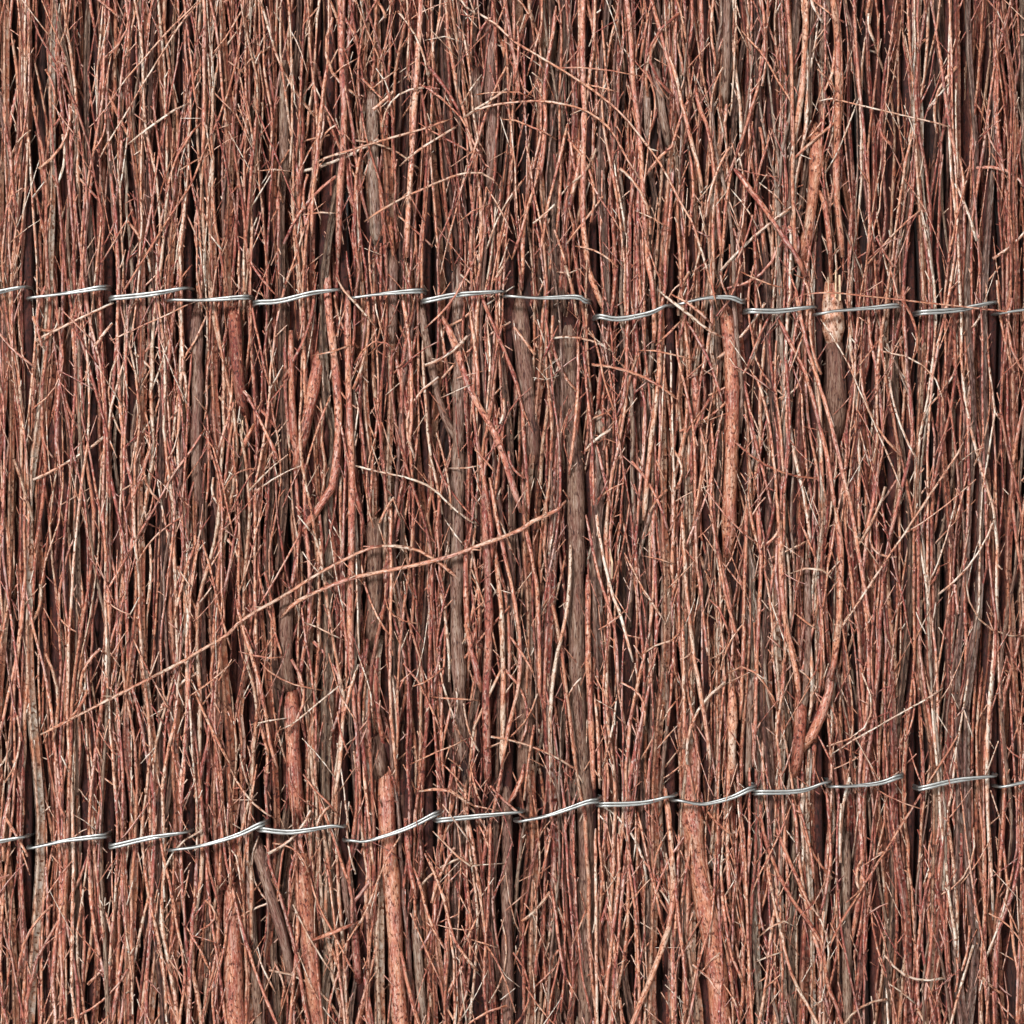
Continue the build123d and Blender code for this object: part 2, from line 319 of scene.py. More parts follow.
# Pale twigs
PALE = (
    (4, 462, 2, 468, 10, 476, 14), (4, 466, 18, 474, 10, 480, 4), (3, 464, 10, 472, 20, 478, 28),
    (3, 470, 0, 474, 12, 472, 24), (3, 461, 14, 470, 16, 479, 18), (3, 172, 38, 186, 18, 204, -2),
    (3, 172, 28, 190, 12, 200, -2), (3, 265, 30, 268, 20, 272, 12), (3, 345, 50, 352, 36, 362, 25),
    (3, 330, 78, 345, 66, 358, 58), (2, 358, 245, 370, 246, 381, 254), (3, 190, 138, 193, 146),
    (4, 172, 112, 180, 107, 188, 103), (3, 376, 68, 384, 80, 391, 97), (3, 370, 90, 384, 80, 399, 68),
    (2, 180, 118, 190, 119, 201, 118), (3, 380, 108, 391, 98), (3, 461, 105, 468, 95, 474, 83, 482, 74),
    (3, 400, 72, 407, 64, 418, 59), (2, 424, 40, 445, 37, 464, 42), (3, 533, 83, 540, 92, 546, 101),
    (3, 511, 110, 512, 140, 515, 170, 517, 220), (2, 490, 160, 500, 155, 508, 150),
    (3, 467, 165, 462, 185, 452, 225, 443, 258), (4, 627, 232, 627, 262),
    (4, 614, 157, 616, 175, 626, 232), (3, 486, 186, 495, 200, 512, 233), (2, 645, 22, 662, 23),
    (3, 654, 58, 672, 68), (2, 636, 70, 652, 57), (3, 705, 120, 709, 110, 718, 98),
    (3, 760, 182, 778, 197, 787, 208), (3, 776, 222, 788, 212, 799, 202),
    (3, 800, 154, 808, 156, 815, 160), (3, 817, 101, 832, 99, 852, 104), (3, 804, 88, 812, 100, 818, 110),
    (3, 731, 188, 745, 206, 760, 230), (3, 203, 250, 204, 285), (3, 172, 312, 184, 306, 197, 300),
    (3, 374, 290, 376, 310, 384, 343), (3, 355, 393, 358, 405, 354, 440), (3, 330, 320, 338, 313),
    (3, 322, 377, 323, 391), (3, 385, 395, 392, 388, 402, 380), (3, 352, 366, 360, 372, 368, 382),
    (3, 432, 358, 445, 362, 456, 364), (3, 455, 378, 462, 374, 482, 371),
    (2, 440, 398, 455, 391, 475, 382), (4, 487, 320, 490, 360, 486, 415),
    (3, 500, 285, 499, 310, 501, 332), (3, 505, 345, 513, 350),
    (2, 536, 367, 543, 375, 548, 380, 556, 381, 559, 375), (2, 533, 377, 541, 380, 549, 380),
    (2, 545, 370, 552, 363, 560, 357), (2, 536, 358, 545, 365), (3, 554, 304, 561, 301),
    (3, 553, 270, 570, 273, 582, 267), (3, 742, 455, 748, 445, 755, 437),
    (3, 801, 385, 802, 420, 808, 480), (4, 804, 372, 797, 388, 785, 398),
    (3, 666, 345, 664, 370, 661, 440), (4, 671, 350, 672, 420, 675, 500), (3, 299, 530, 297, 580),
    (3, 356, 555, 358, 610, 359, 655), (3, 358, 655, 370, 690, 373, 722),
    (3, 318, 560, 327, 570, 333, 578), (5, 596, 505, 600, 540, 611, 590, 619, 610, 626, 635, 633, 662),
    (4, 617, 695, 612, 730, 603, 768), (3, 603, 641, 614, 648), (3, 500, 590, 507, 592, 514, 594),
    (3, 540, 606, 549, 613), (3, 596, 700, 606, 704, 614, 710), (3, 445, 520, 455, 535, 467, 549),
    (3, 549, 560, 556, 546, 566, 539), (3, 555, 525, 548, 560),
    (4, 624, 553, 640, 583, 652, 603, 665, 622), (3, 753, 525, 757, 545),
    (3, 783, 545, 793, 550, 800, 557), (4, 838, 634, 853, 610), (3, 636, 665, 629, 682),
    (3, 678, 726, 666, 738, 657, 750), (3, 784, 695, 795, 722), (3, 685, 716, 690, 710, 695, 702),
    (3, 832, 755, 842, 748, 853, 741), (4, 819, 735, 836, 770), (3, 256, 952, 263, 967, 276, 994),
    (3, 225, 845, 236, 860, 243, 905), (3, 174, 891, 180, 884, 187, 880), (3, 246, 765, 250, 785),
    (3, 263, 783, 270, 800), (3, 232, 801, 243, 803, 256, 801), (3, 340, 765, 344, 790, 349, 833),
    (4, 472, 784, 479, 791), (3, 455, 887, 462, 900, 469, 915), (2, 434, 925, 460, 930, 480, 928),
    (2, 496, 962, 503, 973, 520, 988), (3, 500, 1000, 508, 993, 516, 988), (4, 607, 905, 612, 920),
    (3, 636, 812, 636, 840, 634, 862), (3, 637, 921, 645, 920, 659, 935),
    (2, 656, 948, 665, 945, 680, 948), (3, 665, 985, 675, 995, 683, 1003),
    (3, 738, 790, 740, 820, 743, 845), (3, 731, 921, 742, 926), (3, 794, 864, 800, 853),
    (3, 692, 835, 691, 850, 693, 866), (4, 724, 985, 730, 992, 740, 1015), (3, 812, 965, 802, 982),
    (3, 810, 1010, 820, 1003, 826, 985), (3, 493, 650, 504, 661), (3, 760, 722, 777, 737),
)
# A thick stem broken off above the upper wires
STUB = (
    (20, 833, 280, 834, 300, 835, 320, 837, 350),
)
# Thick grey and brown stems, behind the twigs
OLD = (
    (11, 283, 50, 283, 120, 284, 190), (12, 372, 80, 372, 160, 377, 250),
    (12, 492, 10, 490, 80, 492, 140, 490, 200), (11, 474, 60, 478, 130),
    (10, 652, 50, 660, 90, 664, 120, 672, 150), (9, 646, 70, 648, 110, 648, 150),
    (9, 728, 0, 727, 50, 726, 110), (10, 827, 0, 824, 70), (12, 193, 300, 196, 380, 195, 440, 196, 520),
    (11, 391, 245, 392, 290, 391, 350),
    (9, 419, 290, 424, 330, 429, 355, 434, 380, 439, 400, 450, 430, 467, 449),
    (13, 457, 256, 459, 340, 458, 460, 457, 560, 456, 620, 459, 680, 461, 780),
    (15, 518, 290, 522, 340, 527, 390, 533, 470),
    (16, 568, 300, 569, 350, 571, 400, 575, 450, 577, 540, 577, 620, 578, 700, 585, 800, 587, 880, 587,
     940, 586, 1024), (10, 600, 400, 602, 450), (10, 655, 342, 652, 360, 646, 380, 642, 400),
    (18, 837, 330, 838, 380, 838, 440), (14, 285, 590, 285, 660, 289, 700),
    (14, 374, 510, 374, 580, 372, 650), (14, 376, 735, 380, 790), (16, 524, 660, 526, 720, 525, 790),
    (8, 808, 560, 808, 600, 809, 640, 805, 720), (8, 750, 665, 751, 700, 749, 790),
    (11, 252, 836, 260, 865, 268, 892, 274, 912, 281, 935, 287, 960, 290, 1000),
    (10, 253, 950, 255, 990, 258, 1024), (8, 240, 780, 243, 830, 249, 900, 254, 950),
    (8, 336, 840, 345, 900, 350, 935), (12, 505, 765, 507, 830, 507, 900, 507, 950, 508, 1024),
    (10, 847, 820, 848, 920, 849, 1024), (10, 415, 900, 418, 960, 424, 1024),
)
# Broken wood: stubs, chips and splinters
BROKEN = (
    (5, 837, 269, 838, 280, 837, 296), (6, 841, 274, 842, 284, 841, 300),
    (4, 829, 276, 830, 290, 830, 300), (4, 242, 420, 242, 434), (4, 609, 546, 612, 562, 612, 579),
    (3, 496, 425, 498, 443),
)
# Dark hollows between stems: where the middle of each is, and its half width and half height
HOLLOWS = (
    (190, 42, 6, 30), (255, 203, 5, 18), (349, 214, 5, 22), (353, 276, 5, 18), (361, 90, 4, 16),
    (248, 711, 9, 34), (261, 761, 6, 22), (358, 874, 10, 28), (259, 920, 8, 30), (350, 971, 5, 20),
    (447, 757, 6, 22), (252, 456, 4, 18), (327, 443, 6, 26), (322, 526, 7, 20), (445, 452, 6, 26),
    (432, 518, 5, 18), (178, 550, 5, 26), (595, 476, 4, 28), (612, 670, 5, 26), (748, 575, 4, 26),
    (532, 73, 5, 20), (593, 83, 4, 22), (588, 110, 4, 18), (655, 94, 6, 20), (686, 163, 5, 20),
    (688, 198, 5, 20), (651, 205, 5, 20), (571, 226, 4, 22), (597, 144, 4, 22), (783, 266, 4, 20),
    (831, 90, 4, 20), (831, 172, 5, 26), (592, 366, 5, 20), (716, 350, 4, 18), (822, 337, 4, 22),
)


def gap_place(number):
    """Where the gap before this bundle is along the screen."""
    place = (number - BUNDLES / 2) * PITCH
    seen = number - FIRST_SEEN_GAP
    if 0 <= seen < len(SEEN_GAPS):
        place = at_pixel(SEEN_GAPS[seen], 0)[0]
    return place


GAPS = np.array([gap_place(number) for number in range(BUNDLES + 1)])
GAPS[0] = MAT_LOW.x
GAPS[-1] = MAT_HIGH.x


def row_height(row, x):
    """How high a wire row is at x."""
    return FIRST_ROW + row * ROW_SPACING + ROW_SWAY[row] * np.sin(2 * np.pi * x / SWAY_LENGTH)


def pinch(x, z):
    """1 where a wire row squeezes the stems, and 0 halfway between two rows."""
    away = np.min([np.abs(z - row_height(row, x)) for row in range(ROWS)], axis=0)
    return np.exp(-((away / PINCH_LENGTH) ** 2))


# Settings, which the panel shows

def diameter(name, description, default):
    return FloatProperty(name=name, description=description, default=default, unit="LENGTH",
                         subtype="DISTANCE", precision=4)


def amount(name, description, default):
    return IntProperty(name=name, description=description, default=default, min=1)


def colour_of(name, description, default):
    return FloatVectorProperty(name=name, description=description, default=default,
                               subtype="COLOR", min=0, max=1)


class HeatherSizes(bpy.types.PropertyGroup):
    thick_stem: diameter("Thick stem", "Diameter of the thickest stems", 4.3 * MM)
    middle_stem: diameter("Middle stem", "Diameter of the middling stems", 2.0 * MM)
    twig: diameter("Twig", "Diameter of the thin twigs", 0.70 * MM)
    thick_count: amount("Thick stems", "Thick stems inside each face of a bundle", 5)
    middle_count: amount("Middle stems", "Middling stems side by side at each face of a bundle", 6)
    twig_count: amount("Twigs", "Thin twigs side by side in each bundle", 54)
    wire: diameter("Wire", "Diameter of each wire", 0.54 * MM)


class HeatherColours(bpy.types.PropertyGroup):
    red: colour_of("Red bark", "The darkest, reddest twigs", (0.27, 0.062, 0.047))
    young: colour_of("Young bark", "Bark of most twigs", (0.44, 0.153, 0.098))
    orange: colour_of("Orange bark", "Bark of the brightest stems", (0.53, 0.238, 0.136))
    pale: colour_of("Pale bark", "The palest twigs", (0.56, 0.445, 0.355))
    old: colour_of("Old bark", "Grey-brown bark of thick stems", (0.245, 0.155, 0.115))
    wood: colour_of("Cut wood", "Cut and broken ends", (0.72, 0.50, 0.32))
    zinc: colour_of("Zinc", "Galvanised wire", (0.42, 0.425, 0.41))


def sizes():
    return bpy.context.scene.heather_sizes


def colours():
    return bpy.context.scene.heather_colours


# Stems. One straight length is modelled for each number of sides, and each stem is a copy of its
# rings, led along a route of its own.

LENGTH_RINGS = 60
KNOT_EVERY = 5
KNOT_SWELL = 1.12
UNEVENNESS = 0.035
model_lengths = {}


def knotted_cylinder(sides):
    """The mesh of a straight length with a knot at every few rings, as an array of its corners."""
    bpy.ops.object.select_all(action="DESELECT")
    bpy.ops.mesh.primitive_cylinder_add(vertices=sides, radius=1, depth=1, end_fill_type="NGON")
    stem = bpy.context.object
    bpy.ops.object.mode_set(mode="EDIT")
    bpy.ops.mesh.select_all(action="DESELECT")
    mesh = bmesh.from_edit_mesh(stem.data)
    for edge in mesh.edges:
        if abs(edge.verts[0].co.z - edge.verts[1].co.z) > 0.5:
            edge.select_set(True)
    bmesh.update_edit_mesh(stem.data)
    bpy.ops.mesh.subdivide(number_cuts=LENGTH_RINGS - 2)
    bpy.ops.mesh.select_all(action="DESELECT")
    mesh = bmesh.from_edit_mesh(stem.data)
    for vert in mesh.verts:
        if round((vert.co.z + 0.5) * (LENGTH_RINGS - 1)) % KNOT_EVERY == 2:
            vert.select_set(True)
    bmesh.update_edit_mesh(stem.data)
    bpy.ops.transform.resize(value=(KNOT_SWELL, KNOT_SWELL, 1), center_override=(0, 0, 0))
    bpy.ops.object.mode_set(mode="OBJECT")
    corners = np.empty(len(stem.data.vertices) * 3)
    stem.data.vertices.foreach_get("co", corners)
    bpy.data.objects.remove(stem)
    return corners.reshape(-1, 3)


def model_length(sides):
    """The outlines of a straight length's rings, with knots and uneven bark."""
    if sides not in model_lengths:
        corners = knotted_cylinder(sides)
        ring = np.rint((corners[:, 2] + 0.5) * (LENGTH_RINGS - 1))
        turn = np.rint(np.arctan2(corners[:, 1], corners[:, 0]) / (2 * np.pi) * sides) % sides
        outlines = corners[np.lexsort((turn, ring)), :2].reshape(LENGTH_RINGS, sides, 2)
        rough = np.random.default_rng(sides).normal(0, UNEVENNESS, (LENGTH_RINGS, sides, 1))
        model_lengths[sides] = outlines * (1 + rough)
    return model_lengths[sides]


def unit(vectors):
    return vectors / np.maximum(np.linalg.norm(vectors, axis=-1, keepdims=True), 1e-12)


def ring_corners(points, radii, sides):
    """The corners of every ring of some stems, none of them under the floor."""
    count, rings = radii.shape
    picked = (np.arange(rings)[None] + 7 * np.arange(count)[:, None]) % LENGTH_RINGS
    way = unit(np.gradient(points, axis=1))
    chord = unit(points[:, -1] - points[:, 0])
    across = np.where(np.abs(chord[:, 1:2]) > 0.75, (0.0, 0.0, 1.0), (0.0, 1.0, 0.0))
    first = unit(np.cross(across[:, None], way))
    second = np.cross(way, first)
    spread = model_length(sides)[picked] * radii[:, :, None, None]
    corners = (points[:, :, None] + first[:, :, None] * spread[..., :1]
               + second[:, :, None] * spread[..., 1:])
    corners[..., 2] = np.maximum(corners[..., 2], 0)
    return corners


def stem_faces(base, count, rings, sides):
    """The corner numbers of some stems' side faces, and of their two ends."""
    stem = base + np.arange(count)[:, None, None] * rings * sides
    ring = stem + np.arange(rings - 1)[None, :, None] * sides
    side = np.arange(sides)[None, None]
    here, after = ring + side, ring + (side + 1) % sides
    quads = np.stack([here, after, after + sides, here + sides], axis=-1)
    bottoms = stem[:, 0] + np.arange(sides)[::-1][None]
    tops = stem[:, 0] + (rings - 1) * sides + np.arange(sides)[None]
    return quads, np.stack([bottoms, tops], axis=1)


def bark_map(points, sides):
    """Where side faces are on the bark's map: from 0 to 1 round the stem, and in metres along it."""
    steps = np.linalg.norm(np.diff(points, axis=1), axis=2)
    along = np.concatenate([np.zeros((len(points), 1)), np.cumsum(steps, axis=1)], axis=1)
    shape = (len(points), points.shape[1] - 1, sides)
    u0 = np.broadcast_to(np.arange(sides) / sides, shape)
    u1 = u0 + 1 / sides
    v0 = np.broadcast_to(along[:, :-1, None], shape)
    v1 = np.broadcast_to(along[:, 1:, None], shape)
    return np.stack([u0, v0, u1, v0, u1, v1, u0, v1], axis=-1).reshape(*shape, 4, 2)


def end_disc(sides):
    """The outline of a stem's end, in a square from 0 to 1."""
    turn = np.arange(sides) / sides * 2 * np.pi
    return np.stack([np.cos(turn), np.sin(turn)], axis=-1) * 0.5 + 0.5


# The bake map, on which each stem has a strip of its own: the widest strip, how narrow the strips
# of stems darkened with painted shade are, the space between strips and the height of a cut end
BAKE_MAP = "OFBake"
WIDEST_STRIP = 5 * MM
DARK_SHADE = 0.05
DARK_STRIP = 0.3
MAP_GAP = 1.5 / 1024
CUT_HEIGHT = 1.6 / 1024


def laid_out(widths, lengths):
    """Where strips of these sizes go in columns on a square map, and its scale across and up."""
    tall = (1 - 2 * CUT_HEIGHT - 2 * MAP_GAP) / lengths.max()
    heights = lengths * tall + 2 * CUT_HEIGHT + MAP_GAP
    column = np.zeros(len(widths), int)
    low = np.zeros(len(widths))
    room = np.zeros(len(widths))
    breadths = []
    for strip in np.argsort(-widths):
        fits = np.flatnonzero(room[:len(breadths)] >= heights[strip])
        if len(fits):
            place = fits[0]
        else:
            place = len(breadths)
            room[place] = 1
            breadths.append(widths[strip])
        column[strip] = place
        low[strip] = 1 - room[place] + CUT_HEIGHT
        room[place] -= heights[strip]
    wide = (1 - len(breadths) * MAP_GAP) / sum(breadths)
    left = np.cumsum([0, *breadths[:-1]]) * wide + (np.arange(len(breadths)) + 0.5) * MAP_GAP
    return left[column], low, wide, tall


def strips(lots):
    """Each stem's place on the bake map: its left and low sides, its breadth, height and scale."""
    widths = []
    lengths = []
    for _, (points, radii, _, shade, _) in lots:
        narrow = np.where(shade < DARK_SHADE, DARK_STRIP, 1)
        widths.append(np.minimum(2 * np.pi * radii.mean(axis=1), WIDEST_STRIP) * narrow)
        lengths.append(np.linalg.norm(np.diff(points, axis=1), axis=2).sum(axis=1))
    widths, lengths = np.concatenate(widths), np.concatenate(lengths)
    left, low, wide, tall = laid_out(widths, lengths)
    return np.stack([left, low, widths * wide, lengths * tall, np.full(len(left), tall)], axis=-1)


def bake_map(side_places, disc, strip):
    """Where side faces and ends are on the bake map, from their places on the bark's map."""
    left, low, wide, high, tall = strip.T
    corner = np.stack([left, low], axis=-1)
    flat = side_places * np.stack([wide, tall], axis=-1)[:, None, None, None]
    end = disc * np.stack([wide, np.full(len(wide), CUT_HEIGHT)], axis=-1)[:, None] + corner[:, None]
    over = np.stack([0 * high, high], axis=-1)[:, None]
    ends = np.stack([end - (0, CUT_HEIGHT), end + over], axis=1)
    return flat + corner[:, None, None, None], ends


YOUNG, AGED, WOOD = range(3)


class Sheaf:
    """Stems that are waiting to be joined as one mesh."""

    def __init__(self):
        self.lots = {}

    def add(self, points, radii, sides, tone, shade, bark=YOUNG):
        """One stem or several along the points.

        Tone is 0 for red bark and 1 for pale, and shade is the bark's brightness: partly its own, and
        partly painted shade where the stem lies deep in the mat.
        """
        points = np.asarray(points, float)
        radii = np.asarray(radii, float)
        if points.ndim == 2:
            points, radii = points[None], radii[None]
        numbers = [np.broadcast_to(value, len(points)) for value in (tone, shade, bark)]
        self.lots.setdefault((sides, points.shape[1]), []).append((points, radii, *numbers))

    def join(self, name, materials):
        """One mesh of all the stems."""
        lots = [(key, [np.concatenate(part) for part in zip(*stems)])
                for key, stems in sorted(self.lots.items())]
        places = strips(lots)
        corners, loops, counts, slots = [], [], [], []
        maps = {"Bark": [], BAKE_MAP: []}
        numbers = {"tone": [], "shade": [], "girth": []}
        base = done = 0
        for (sides, rings), (points, radii, tone, shade, bark) in lots:
            count = len(points)
            corners.append(ring_corners(points, radii, sides))
            quads, ends = stem_faces(base, count, rings, sides)
            loops += [quads, ends]
            counts += [np.full(quads.size // 4, 4), np.full(count * 2, sides)]
            slots += [np.repeat(bark, (rings - 1) * sides), np.full(count * 2, WOOD)]
            side_places, disc = bark_map(points, sides), end_disc(sides)
            maps["Bark"] += [side_places, np.broadcast_to(disc, (count, 2, sides, 2))]
            maps[BAKE_MAP] += bake_map(side_places, disc, places[done:done + count])
            for key, values in (("tone", tone), ("shade", shade), ("girth", radii.mean(axis=1) / MM)):
                numbers[key].append(np.repeat(values, rings * sides))
            base += count * rings * sides
            done += count
        return make_mesh(name, materials, flattened(corners), flattened(loops), flattened(counts),
                         flattened(slots), {key: flattened(part) for key, part in maps.items()},
                         {key: flattened(part) for key, part in numbers.items()})


def flattened(arrays):
    return np.concatenate([array.reshape(-1) for array in arrays])


def make_mesh(name, materials, corners, loops, counts, slots, maps, numbers):
    """An object from flat arrays, with its maps and with numbers at its corners."""
    mesh = bpy.data.meshes.new(name)
    mesh.vertices.add(len(corners) // 3)
    mesh.vertices.foreach_set("co", corners.astype(np.float32))
    mesh.loops.add(len(loops))
    mesh.loops.foreach_set("vertex_index", loops.astype(np.int32))
    mesh.polygons.add(len(counts))
    mesh.polygons.foreach_set("loop_start", (np.cumsum(counts) - counts).astype(np.int32))
    mesh.update(calc_edges=True)
    mesh.polygons.foreach_set("material_index", slots.astype(np.int32))
    mesh.polygons.foreach_set("use_smooth", slots != WOOD)
    for key, places in maps.items():
        mesh.uv_layers.new(name=key).data.foreach_set("uv", places.astype(np.float32))
    for key, values in numbers.items():
        layer = mesh.attributes.new(key, "FLOAT", "POINT")
        layer.data.foreach_set("value", values.astype(np.float32))
    for material in materials:
        mesh.materials.append(material)
    mesh.validate()
    piece = bpy.data.objects.new(name, mesh)
    bpy.context.scene.collection.objects.link(piece)
    return piece


# Routes

def distances(points):
    """How far along a line each of its points is."""
    return np.concatenate([[0], np.cumsum(np.linalg.norm(np.diff(points, axis=0), axis=1))])


def places_along(points, along, spots):
    """Where some distances along a line are."""
    return np.stack([np.interp(spots, along, points[:, axis]) for axis in range(3)], axis=-1)


def smooth_line(points, spacing):
    """Points evenly spaced along a curve through the given ones."""
    points = np.asarray(points, float)
    padded = np.concatenate([2 * points[:1] - points[1:2], points, 2 * points[-1:] - points[-2:-1]])
    t = np.linspace(0, 1, CURVE_STEPS + 1)[:-1, None]
    pieces = []
    for i in range(len(points) - 1):
        a, b, c, d = padded[i:i + 4]
        pieces.append(0.5 * (2 * b + (c - a) * t + (2 * a - 5 * b + 4 * c - d) * t ** 2
                             + (3 * b - a - 3 * c + d) * t ** 3))
    line = np.concatenate(pieces + [points[-1:]])
    along = distances(line)
    count = max(2, round(along[-1] / spacing))
    return places_along(line, along, np.linspace(0, along[-1], count))


def ring_heights(low, high, fine, coarse, close):
    """Heights of a stem's rings, closer together where the camera is near. Their number is even."""
    if not close or high < SEEN_Z[0] or low > SEEN_Z[1]:
        count = max(4, 2 * math.ceil((high - low) / coarse / 2))
        return np.linspace(low, high, count)
    stops = np.clip([low, SEEN_Z[0], SEEN_Z[1], high], low, high)
    work = np.cumsum([0, *(np.diff(stops) / (coarse, fine, coarse))])
    count = max(4, 2 * math.ceil(work[-1] / 2))
    steps = np.linspace(0, work[-1], count)
    keep = np.concatenate([[True], np.diff(work) > 1e-9])
    return np.interp(steps, work[keep], stops[keep])


def wave(rng, z, sway, length):
    """A gentle wander of about this size and wavelength."""
    total = np.zeros_like(z)
    for part in (1.0, 0.55, 0.3):
        stretch = length * part * rng.uniform(0.75, 1.35)
        total += part * np.sin(2 * np.pi * (z / stretch + rng.random()))
    return total * sway


def reach_at(x, z):
    """How far out from the middle plane the mat is at a place."""
    return BELLY + (WAIST - BELLY) * pinch(x, z)


# The photograph's thick stems, in pixels across, how near and how deep others pass behind them, and
# the share of stems that do
THICK_WIDTH = 9
BEHIND_WITHIN = 1.6 * MM
BEHIND_BY = 2.2 * MM
BEHIND_SHARE = 0.8

# How far stems tuck in at their ends and over what length, and how near the foot and the top they
# don't
TUCK = 1.8 * MM
TUCK_LENGTH = 9 * MM
FOOT_ENDS = 5 * MM
TOP_ENDS = 30 * MM

# How much narrower a bundle is at a wire row, and how far past the middle plane a stem may lie
SQUEEZED = 0.2
DEEPEST = -2 * MM

# How long the waves are in which stems wander along the screen, and in and out of its face
SIDE_WAVE = 130 * MM
FACE_WAVE = 80 * MM

# How uneven a stem's girth is, and how far its last ring is drawn in
GIRTH_CHANGE = 0.1
POINT = 0.45

# How many steps a curve takes between two places that it passes
CURVE_STEPS = 8


def thick_routes():
    """Where the photograph's thick stems go, so that others can pass behind them."""
    routes = []
    for width, *places in ORANGE + OLD + STUB:
        if width >= THICK_WIDTH:
            places = np.array(places, float).reshape(-1, 2)[::-1]
            x, z = at_pixel(places[:, 0], places[:, 1])
            routes.append((z, x, width * PIXEL / 2))
    return routes


THICK_ROUTES = thick_routes()


def pushed_behind(x, z):
    """How far in a stem has to lie to pass behind the photograph's thick ones."""
    depth = np.zeros_like(z)
    for heights, path, radius in THICK_ROUTES:
        if abs(path[0] - x[0]) < 2.5 * PITCH and z[0] < heights[-1] and z[-1] > heights[0]:
            apart = np.abs(x - np.interp(z, heights, path)) - radius
            beside = (z > heights[0]) & (z < heights[-1])
            share = np.clip(1 - apart / BEHIND_WITHIN, 0, 1) * beside
            depth = np.maximum(depth, share * (2 * radius + BEHIND_BY))
    return depth


def tucked_in(from_end):
    """How much further in a stem lies near its end, which comes out from between others."""
    return TUCK * np.clip(1 - from_end / TUCK_LENGTH, 0, 1) ** 2


def round_hollows(x, z):
    """A stem's places along the screen, moved to pass each of the photograph's hollows on one side."""
    for place_x, place_y, half_width, half_height in HOLLOWS:
        middle, level = at_pixel(place_x, place_y)
        if z[0] < level < z[-1]:
            away = x - middle
            bulge = 1.2 - ((z - level) / (half_height * PIXEL)) ** 2
            room = half_width * PIXEL * np.clip(bulge, 0, 1)
            side = 1 if np.interp(level, z, away) > 0 else -1
            x = x + side * np.clip(room - side * away, 0, 2 * room)
    return x


def knotty(rng, points, size):
    """The little zigzag that a twig makes from knot to knot."""
    points = points.copy()
    points[:, :2] += rng.normal(0, size, (len(points), 2))
    return points


def taper(rng, rings, base, tip):
    """Radii that shrink unevenly from base to tip, with the last ring drawn in to a rough point."""
    radii = np.linspace(base, tip, rings) * (1 + rng.normal(0, GIRTH_CHANGE, rings))
    radii[-1] *= POINT
    return radii


def kept_close(points):
    """The points with loose ends drawn in to the mat's face, and none under its foot or far over it."""
    points = points.copy()
    out = np.abs(points[..., 1]) - BELLY
    drawn = BELLY + LOOSE * np.tanh(np.maximum(out, 0) / LOOSE)
    points[..., 1] = np.where(out > 0, np.sign(points[..., 1]) * drawn, points[..., 1])
    points[..., 2] = np.clip(points[..., 2], 0.5 * MM, HEIGHT + LOOSE_TOP)
    return points


# Bundles

BUNDLE_SEED = 500
GOLDEN = 0.618034

# The share of twigs that are at the front
FRONT_SHARE = 0.6

# How long middling stems and twigs are, in metres
MIDDLE_LENGTHS = (0.3, 0.8)
TWIG_LENGTHS = (0.05, 0.36)

# Side shoots: the share of long ones, the mean lengths of long and short ones in millimetres, the
# least and the most that they measure, how far they lean out in radians, their radii in
# millimetres, and the share that is made where the camera doesn't see
LONG_SHARE = 0.22
LONG_SHOOT = 5.0
SHORT_SHOOT = 1.6
LEAST_SHOOT = 0.8 * MM
MOST_SHOOT = 12 * MM
SHOOT_LEANS = (0.2, 0.95)
SHOOT_RADII = (0.11, 0.23)
UNSEEN_SHOOTS = 0.12

# Loose twigs across the rest: their number in a bundle and the share of it that is made where the
# camera doesn't see, then their lengths, depths and radii in millimetres
CROSS_TWIGS = 200
UNSEEN_CROSS_TWIGS = 0.17
CROSS_LENGTHS = (5, 19)
CROSS_DEPTHS = (0.1, 2.2)
CROSS_RADII = (0.16, 0.34)

# How far apart a stem's rings are where the camera is near, and elsewhere
CORE_RINGS = (20 * MM, 60 * MM)
MIDDLE_RINGS = (5.4 * MM, 50 * MM)
TWIG_RINGS = (4.4 * MM, 50 * MM)

# How far apart a stem's side shoots are in millimetres, where the camera is near and elsewhere
MIDDLE_SHOOTS = (12, 70)
TWIG_SHOOTS = (8.5, 75)
SEEN_SHOOTS = 16

# How much coarser the near rings and side shoots are in bundles out of the photograph
OUT_OF_PHOTO = 1.7

# Thin stems look wider in the photograph than they are, and the thickest look narrower: the widths
# they are read as, in pixels, and the shares of those that they are
READ_WIDTHS = (4, 9, 15)
TRUE_SHARES = (0.6, 0.88, 1.12)

# How far on and how far aside a stem runs out of the photograph, in pixels
RUNS_ON = (60, 200)
RUNS_ASIDE = 8

# The photograph's stems by kind: how deep in the face each kind lies in millimetres, or None where
# it lies over the wires, its tone and its shade, and its bark
SEEN_KINDS = (
    (STRAYS, None, 0.72, 0.62, YOUNG),
    (ORANGE, 0.1, 0.45, 0.64, YOUNG),
    (PALE, -0.3, 0.88, 0.78, YOUNG),
    (OLD, 1.4, 0.4, 0.68, AGED),
    (BROKEN, -0.2, 0.5, 0.75, WOOD),
    (STUB, -0.9, 0.5, 0.9, YOUNG),
)


def beyond(rng, end, before):
    """A place out of the photograph, further on from a stem's end the way it was going."""
    return end + unit(end - before) * rng.uniform(*RUNS_ON) + (rng.normal(0, RUNS_ASIDE), 0)


def run_on(rng, places):
    """A stem's places in pixels, with one more beyond each end that leaves the photograph."""
    start, finish = places[0], places[-1]
    if start[1] <= 2 or start[0] <= PHOTO_LEFT:
        places = np.concatenate([[beyond(rng, start, places[1])], places])
    if finish[1] >= PIXELS or finish[0] >= PHOTO_RIGHT:
        places = np.concatenate([places, [beyond(rng, finish, places[-2])]])
    return places


